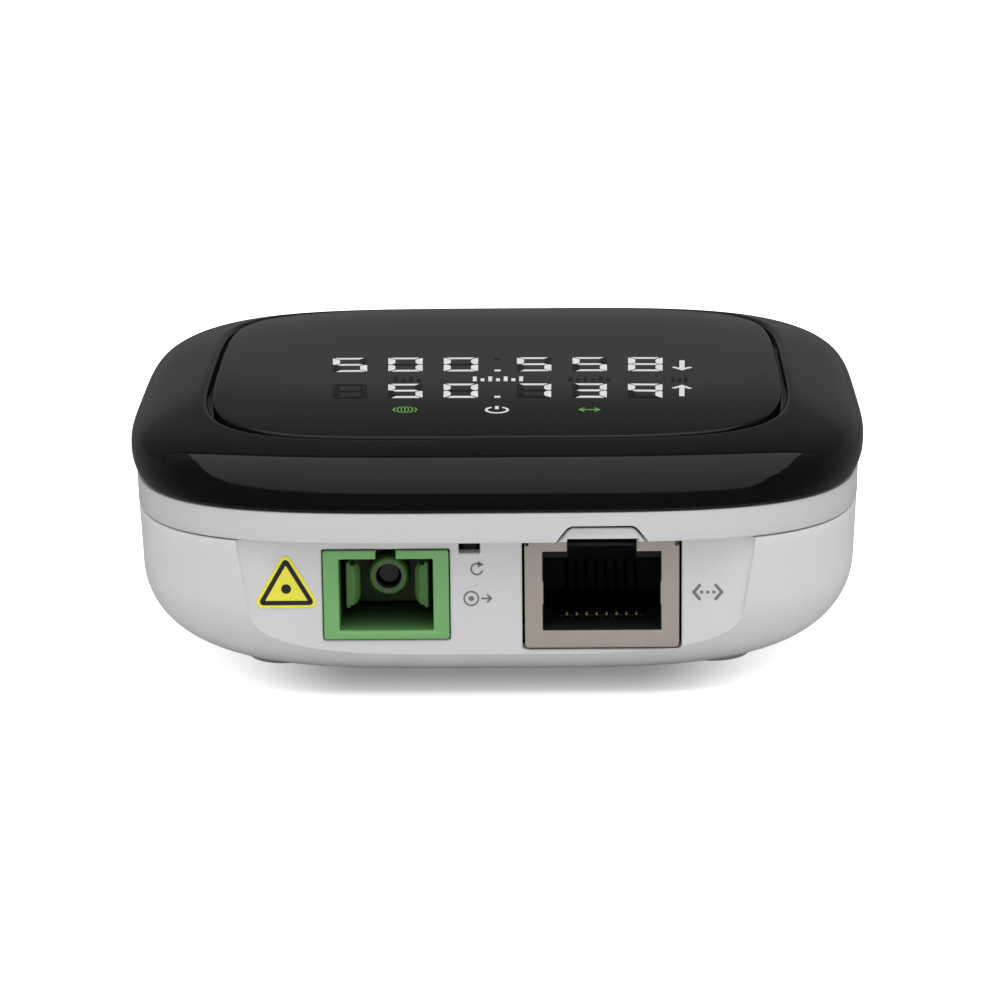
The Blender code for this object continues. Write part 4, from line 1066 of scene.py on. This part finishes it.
def sc_port():
    x, z = SC_X, SC_Z
    axis = (x, 0.0, z)
    back = SC_HIGH.y - SC_BACK_WALL
    half_x, half_z = SC_MOUTH
    mouth = rectangle((x - half_x, z - half_z), (x + half_x, z + half_z), 0.15)
    mouth_levels = [(PORT_Y - 1.0, 0.25), (PORT_Y, 0.25), (PORT_Y + 0.03, 0.19), (PORT_Y + 0.1, 0.15)]
    mouth_levels.append((back, 0.15))
    key = rectangle((x - SC_KEY_HALF, z), (x + SC_KEY_HALF, SC_HIGH.z + 3.0), 0.1)
    key_levels = [(PORT_Y - 1.0, 0.18), (PORT_Y, 0.18), (PORT_Y + 0.08, 0.1), (PORT_Y + SC_KEY_REACH, 0.1)]
    hole = revolve([(back - 1.0, 2.3), (SC_HIGH.y + 1.0, 2.3)], axis, "Y")
    steps = [cut(stack(mouth, mouth_levels, "Y")), cut(stack(key, key_levels, "Y")), cut(hole)]
    piece("sc_body", slab(SC_LOW, SC_HIGH, "Y", 0.28, 0.1), "sc_green", ["sc_housing"], steps=steps)

    low, high = node_box("sc_latch_holder")
    front, plate_front = low.y, PORT_Y + HOLDER_PLATE
    plate = slab((low.x, plate_front, low.z), high, "Y", 0.25, 0.12)
    nose = [(front, 1.8), (front + 0.15, 1.98), (front + 0.5, 2.1), (plate_front + 0.5, 2.2)]
    bore = [(front - 1.0, 1.5), (front, 1.48), (front + 0.1, BEVEL_RADIUS), (front + 0.24, BEVEL_RADIUS)]
    bore += [(front + 0.28, HOLDER_BORE), (high.y + 1.0, HOLDER_BORE)]
    steps = [([revolve(nose, axis, "Y")], [revolve(bore, axis, "Y")])]
    piece("sc_holder", plate, "sc_holder_green", ["sc_latch_holder"], steps=steps)
    rim = [[(front + 0.04, radius), (front + 0.24, radius)] for radius in (BEVEL_RADIUS, 1.37)]
    piece("sc_sleeve_rim", tube(*rim, axis, "Y"), "transceiver_metal")

    low, high = node_box("ceramic_sleeve")
    outer = [(low.y, BEVEL_RADIUS), (low.y + 0.12, SLEEVE_RADIUS), (high.y - 0.12, SLEEVE_RADIUS)]
    inner = [(low.y, 1.36), (low.y + 0.1, SLEEVE_BORE), (high.y - 0.1, SLEEVE_BORE), (high.y, 1.36)]
    slit = slab((x - 0.12, low.y - 1.0, z), (x + 0.12, high.y + 1.0, z + 3.0), "Y", 0.02, 0.0)
    sleeve = tube(outer + [(high.y, BEVEL_RADIUS)], inner, axis, "Y")
    piece("sc_sleeve", sleeve, "ceramic", ["ceramic_sleeve"], steps=[cut(slit)])

    for side, name in ((-1, "left"), (1, "right")):
        sc_arm(name, side)


def sc_arm(name, side):
    """A spring arm: a tall thin bar with a shorter hook whose upper and lower corners are cut off."""
    node = f"sc_latch_{name}"
    low, high = node_box(node)
    outer, hook = (low.x, high.x) if side < 0 else (high.x, low.x)
    inner, centre = outer - side * 0.9, outer - side * 0.42
    root, tip = high.y, low.y
    bar = slab((outer, tip, low.z + 0.35), (centre, root, high.z), "Y", 0.18, 0.12)
    edge, z = centre + side * 0.1, SC_Z + 0.15
    tall = (high.z - low.z) / 2 - 0.5
    rings = []
    for y, reach, step in ((tip + 0.1, inner, 0.2), (tip + 0.75, hook, 0.35), (tip + 1.5, hook, 0.35),
                           (tip + 2.1, inner, 0.2), (root, inner, 0.2)):
        slope = reach + side * step
        rings.append([(edge, y, z - tall), (slope, y, z - tall), (reach, y, z - tall + 0.7),
                      (reach, y, z + tall - 0.7), (slope, y, z + tall), (edge, y, z + tall)])
    piece(f"sc_arm_{name}", bar, "sc_holder_green", [node], node, [join(loft(rings))])


# ---------------------------------------------------------------- RJ45 jack

MOUTH_HALF = 6.0
MOUTH_LOW = 7.1
MOUTH_HIGH = 15.45
NOTCH_HALF = 3.5
SHEET = 0.3
INSERT_DEPTH = 13.5
CONTACT_PITCH = 1.016


def jack_cutters(margin, end, top, flare=0.0):
    """The plug opening and the latch notch above it."""
    x, radius = JACK_X, 0.12
    cutters = []
    for half, low, high in ((MOUTH_HALF - margin, MOUTH_LOW + margin, MOUTH_HIGH - margin),
                            (NOTCH_HALF - margin, MOUTH_HIGH - 1.0, top)):
        levels = [(PORT_Y - 1.0, radius + flare), (PORT_Y, radius + flare), (PORT_Y + 0.12, radius)]
        levels.append((end, radius))
        core = rectangle((x - half, low), (x + half, high), radius)
        cutters.append(cut(stack(core, levels if flare else levels[::3], "Y")))
    return cutters


def rj45_jack():
    x, right, top = JACK_X, JACK_HIGH.x - JACK_X, JACK_HIGH.z
    inside = slab((JACK_LOW.x + SHEET, JACK_LOW.y + SHEET, JACK_LOW.z - 2.0),
                  (JACK_HIGH.x - SHEET, JACK_HIGH.y - SHEET, top - SHEET), "Y", 0.2, 0.0)
    corners, tabs = [], []
    for side in (-1, 1):
        edge, inner = x + side * right, x + side * MOUTH_HALF
        corners.append(slab((edge - side * 0.42, PORT_Y - 1.0, top - 0.75),
                            (edge + side * 1.0, PORT_Y + 1.0, top + 1.0), "Y", 0.05, 0.0))
        tabs.append(slab((inner - side * 0.07, PORT_Y + 0.04, 9.9),
                         (inner + side * 0.5, PORT_Y + 0.28, 12.3), "Y", 0.1, 0.04))
    steps = [cut(inside)] + jack_cutters(0.0, PORT_Y + 1.0, top + 1.0, 0.08) + [(tabs, corners)]
    piece("jack_shield", slab(JACK_LOW, JACK_HIGH, "Y", 0.45, 0.14), "nickel", ["rj45_shield"], steps=steps)

    low, high = node_box("rj45_insert")
    back = PORT_Y + INSERT_DEPTH
    rib_back = back + 0.5
    steps = jack_cutters(0.1, back, top - 0.9)
    for k in range(9):
        rib_x = x + (k - 4) * CONTACT_PITCH
        steps.append(join(slab((rib_x - 0.26, PORT_Y + 4.4, MOUTH_LOW - 0.2),
                               (rib_x + 0.26, rib_back, MOUTH_LOW + 0.4), "Y", 0.05, 0.05)))
    for start, end, depth, under, over in ((-3.45, -6.2, 1.2, 0.95, 0.2), (3.45, 6.2, 1.2, 0.95, 0.2),
                                           (-2.0, 1.25, 7.0, 1.3, 0.4)):
        steps.append(join(slab((x + start, PORT_Y + depth, MOUTH_HIGH - under),
                               (x + end, rib_back, MOUTH_HIGH + over), "Y", 0.1, 0.08)))
    piece("jack_insert", slab(low, high, "Y", 0.2, 0.08), "jack_black", ["rj45_insert"], steps=steps)
    jack_wires()


def jack_wires():
    """Eight gold spring wires with round sides, which rise from their front bend towards the back."""
    wires = []
    nodes = [f"rj45_contact_{i}" for i in range(1, 9)]
    bend = [(1.0, -0.12), (0.4, -0.12), (0.1, -0.08), (0.0, 0.04), (0.06, 0.16), (0.3, 0.32), (0.8, 0.6)]
    rise = [(4.1, 2.3), (6.4, 3.05), (7.7, 3.4), (8.3, 3.4), (8.7, 3.3)]
    for node in nodes:
        low, high = node_box(node)
        front, z = low.y + 0.14, low.z + 0.2
        path = [(front + back, z + up) for back, up in bend + rise]
        wires.append(wire(path, (low.x + high.x) / 2, 0.17, 0.12))
    piece("jack_wires", merged(wires), "contact_gold", nodes, "rj45_contacts")


def wire(path, x, half_width, half_thick, sides=10):
    """A bent wire of oval section that follows (y, z) points."""
    rings = []
    for i, here in enumerate(path):
        before, after = path[max(i - 1, 0)], path[min(i + 1, len(path) - 1)]
        along = Vector((after[0] - before[0], after[1] - before[1])).normalized()
        ring = []
        for k in range(sides):
            angle = 2 * pi * k / sides
            lift = half_thick * sin(angle)
            ring.append((x + half_width * cos(angle), here[0] - along.y * lift, here[1] + along.x * lift))
        rings.append(ring)
    return loft(rings)


def reset_button():
    low, high = RESET_LOW, RESET_HIGH
    pad_back = PORT_Y + 3.3
    pin = slab((low.x + 0.15, pad_back - 0.5, low.z + 0.2), (high.x - 0.15, high.y, low.z + 1.5),
               "Y", 0.15, 0.1)
    pad = slab(low, (high.x, pad_back, high.z), "Y", 0.2, 0.12)
    piece("reset_button", pad, "black_plastic", ["reset_pusher"], "reset_pusher", [join(pin)])


# ---------------------------------------------------------------- carried-over parts

def paint_frame():
    """Every CAD node that still shows gets the finish of its material slot."""
    for entry in frame["record"]["subparts"]:
        obj = frame["nodes"][entry["node"]]
        if not obj.hide_render:
            paint(obj, entry["material_slot"], 25)


# ---------------------------------------------------------------- stage

CAMERA_TILT = 15.54
CAMERA_TURN = -0.847
CAMERA_ROLL = 0.60
CAMERA_DISTANCE = 0.430
CAMERA_LENS = 142.78
CAMERA_SHIFT = (0.0006, -0.0173)
AIM_HEIGHT = 0.014


def camera():
    tilt, roll = radians(CAMERA_TILT), radians(CAMERA_ROLL)
    turn = Matrix.Rotation(-radians(CAMERA_TURN), 3, "Z")
    right = Vector((1.0, 0.0, 0.0))
    up = Vector((0.0, sin(tilt), cos(tilt)))
    forward = turn @ Vector((0.0, cos(tilt), -sin(tilt)))
    rolled_right = turn @ (right * cos(roll) - up * sin(roll))
    rolled_up = turn @ (right * sin(roll) + up * cos(roll))
    axes = Matrix((rolled_right, rolled_up, -forward)).transposed().to_4x4()
    data = bpy.data.cameras.new("camera")
    data.sensor_width = 36.0
    data.lens = CAMERA_LENS
    data.shift_x, data.shift_y = CAMERA_SHIFT
    data.clip_start = 0.01
    obj = bpy.data.objects.new("camera", data)
    obj.matrix_world = Matrix.Translation(Vector((0.0, 0.0, AIM_HEIGHT)) - forward * CAMERA_DISTANCE) @ axes
    link(obj)
    bpy.context.scene.camera = obj


def area_light(name, place, aim, size, power):
    data = bpy.data.lights.new(name, "AREA")
    data.shape = "RECTANGLE"
    data.size, data.size_y = size
    data.energy = power
    obj = bpy.data.objects.new(name, data)
    obj.location = place
    obj.rotation_euler = (Vector(aim) - Vector(place)).to_track_quat("-Z", "Y").to_euler()
    obj.visible_glossy = False
    obj.visible_camera = False
    link(obj)


FLOOR_REACH = 3.0
FLOOR_RETURN = (0.62, 0.62, 0.62, 1.0)


def floor():
    """A pale floor. To the camera it glows a little, and more to the left and right of the object, a painted
    light that lightens the shadow beside it; it returns less light to the object.
    From below it is clear, so that the underside can be looked at."""
    corners = [(-FLOOR_REACH, -FLOOR_REACH, 0), (FLOOR_REACH, -FLOOR_REACH, 0), (FLOOR_REACH, FLOOR_REACH, 0),
               (-FLOOR_REACH, FLOOR_REACH, 0)]
    mesh = bpy.data.meshes.new("floor")
    mesh.from_pydata(corners, [], [(0, 1, 2, 3)])
    obj = bpy.data.objects.new("floor", mesh)
    material = finish("floor_paper", (0.76, 0.76, 0.76), 0.9, mottle=0.004, uneven=0.02, specular=0.0)
    tree = material.node_tree
    shader = tree.nodes["Principled BSDF"]
    # Painted light: the floor's glow grows to the left and right of the object, lightening the shadow beside
    # it.
    aside = calculate(tree, "ABSOLUTE", part_of(tree, place_of(tree), 0))
    level = ramp(tree, aside, 14 * MM, 30 * MM, 0.22, 0.78, smooth=True)
    shader.inputs["Emission Color"].default_value = (1.0, 1.0, 1.0, 1.0)
    tree.links.new(level, shader.inputs["Emission Strength"])
    back = add_node(tree, "BsdfDiffuse", Color=FLOOR_RETURN)
    path = add_node(tree, "LightPath")
    mixed = add_node(tree, "MixShader", in_0=path.outputs["Is Camera Ray"], in_1=back.outputs[0],
                     in_2=shader.outputs[0])
    from_below = add_node(tree, "NewGeometry").outputs["Backfacing"]
    clear = add_node(tree, "BsdfTransparent")
    shown = add_node(tree, "MixShader", in_0=from_below, in_1=mixed.outputs[0], in_2=clear.outputs[0])
    tree.links.new(shown.outputs[0], tree.nodes["Material Output"].inputs[0])
    mesh.materials.append(material)
    obj.visible_glossy = False
    link(obj)


# Studio seen by reflections, by angle in the Y-Z plane: 0 is the front horizon, 90 the zenith, 180 the back.
# Each pair is (degrees, brightness). The softbox fills the bright run from -21 to 117 degrees.
STUDIO_SIDE_ON = [
    (-180, 0.12), (-150, 0.11), (-115, 0.05), (-60, 0.045), (-25, 0.06), (-21, 0.50), (10, 0.66),
    (60, 0.72), (117, 0.70), (118.2, 0.01), (122.5, 0.01), (124, 0.08), (140, 0.09), (160, 0.10),
    (166, 0.145), (180, 0.155),
]
# The softbox leans: its ends turn by this many radians from the middle of the studio to its right side.
SOFTBOX_TILT = 0.17
# The softbox's half-width by angle, as the sideways part of a direction, and the angle where its sides end.
BOX_WIDTHS = [(-30, 0.52), (-20, 0.67), (0, 0.80), (40, 0.83), (73, 0.76), (107, 0.60), (120, 0.50)]
BOX_END = 120
# The diffuse dome's brightness at the horizon and overhead, and what it gains low at the sides.
DOME = (0.42, 1.30)
LOW_SIDE = 0.22


def by_angle(tree, angle, steps):
    """A value that runs through (degrees, level) steps."""
    made = add_node(tree, "ValToRGB", Fac=ramp(tree, angle, -pi, pi, 0.0, 1.0))
    stops = made.color_ramp.elements
    for k, (degrees_up, level) in enumerate(steps):
        stop = stops[k] if k < 2 else stops.new(1.0)
        stop.position = (degrees_up + 180) / 360
        stop.color = (level, level, level, 1.0)
    return made.outputs["Color"]


def world():
    """A bright even dome for diffuse light, white for the camera, and a dark studio with one large softbox,
    from low in front to past overhead, for reflections."""
    made = bpy.data.worlds.new("studio")
    bpy.context.scene.world = made
    made.use_nodes = True
    tree = made.node_tree
    tree.nodes.clear()
    direction = add_node(tree, "TexCoord").outputs["Generated"]
    x, y, z = [part_of(tree, direction, k) for k in range(3)]
    aside = calculate(tree, "ABSOLUTE", x)
    angle = calculate(tree, "ARCTAN2", z, calculate(tree, "MULTIPLY", y, -1.0))
    tilted = calculate(tree, "ADD", angle, calculate(tree, "MULTIPLY", x, SOFTBOX_TILT))
    box = by_angle(tree, tilted, STUDIO_SIDE_ON)
    side = ramp(tree, y, -0.3, 0.5, 0.045, 0.13, smooth=True)
    across = calculate(tree, "SUBTRACT", aside, by_angle(tree, angle, BOX_WIDTHS))
    outside = ramp(tree, across, -0.005, 0.005, 0.0, 1.0, smooth=True)
    behind = ramp(tree, tilted, radians(BOX_END), radians(BOX_END + 1), 0.0, 1.0)
    outside = calculate(tree, "MULTIPLY", outside, calculate(tree, "SUBTRACT", 1.0, behind))
    reflected = mix_value(tree, outside, box, side)
    low_side = calculate(tree, "MULTIPLY", ramp(tree, aside, 0.6, 1.0, 0.0, LOW_SIDE),
                         ramp(tree, z, 0.0, 0.6, 1.0, 0.0))
    dome = calculate(tree, "ADD", ramp(tree, z, 0.0, 1.0, *DOME), low_side)
    path = add_node(tree, "LightPath")
    level = mix_value(tree, path.outputs["Is Glossy Ray"], dome, reflected)
    level = mix_value(tree, path.outputs["Is Camera Ray"], level, 1.0)
    background = add_node(tree, "Background", Color=level, Strength=1.0)
    output = tree.nodes.new("ShaderNodeOutputWorld")
    tree.links.new(background.outputs[0], output.inputs[0])


def stage():
    camera()
    floor()
    world()
    area_light("overhead", (0.05, -0.15, 0.75), (0.0, 0.0, 0.0), (0.6, 0.5), 5.5)
    bpy.context.scene.view_settings.view_transform = "Standard"


# ---------------------------------------------------------------- whole object

base_shell()
collar_band()
cover_shell()
window_panel()
feet()
readout()
port_sticker()
wall_marks()
label()
sc_port()
rj45_jack()
reset_button()
paint_frame()
stage()

bpy.context.view_layer.update()
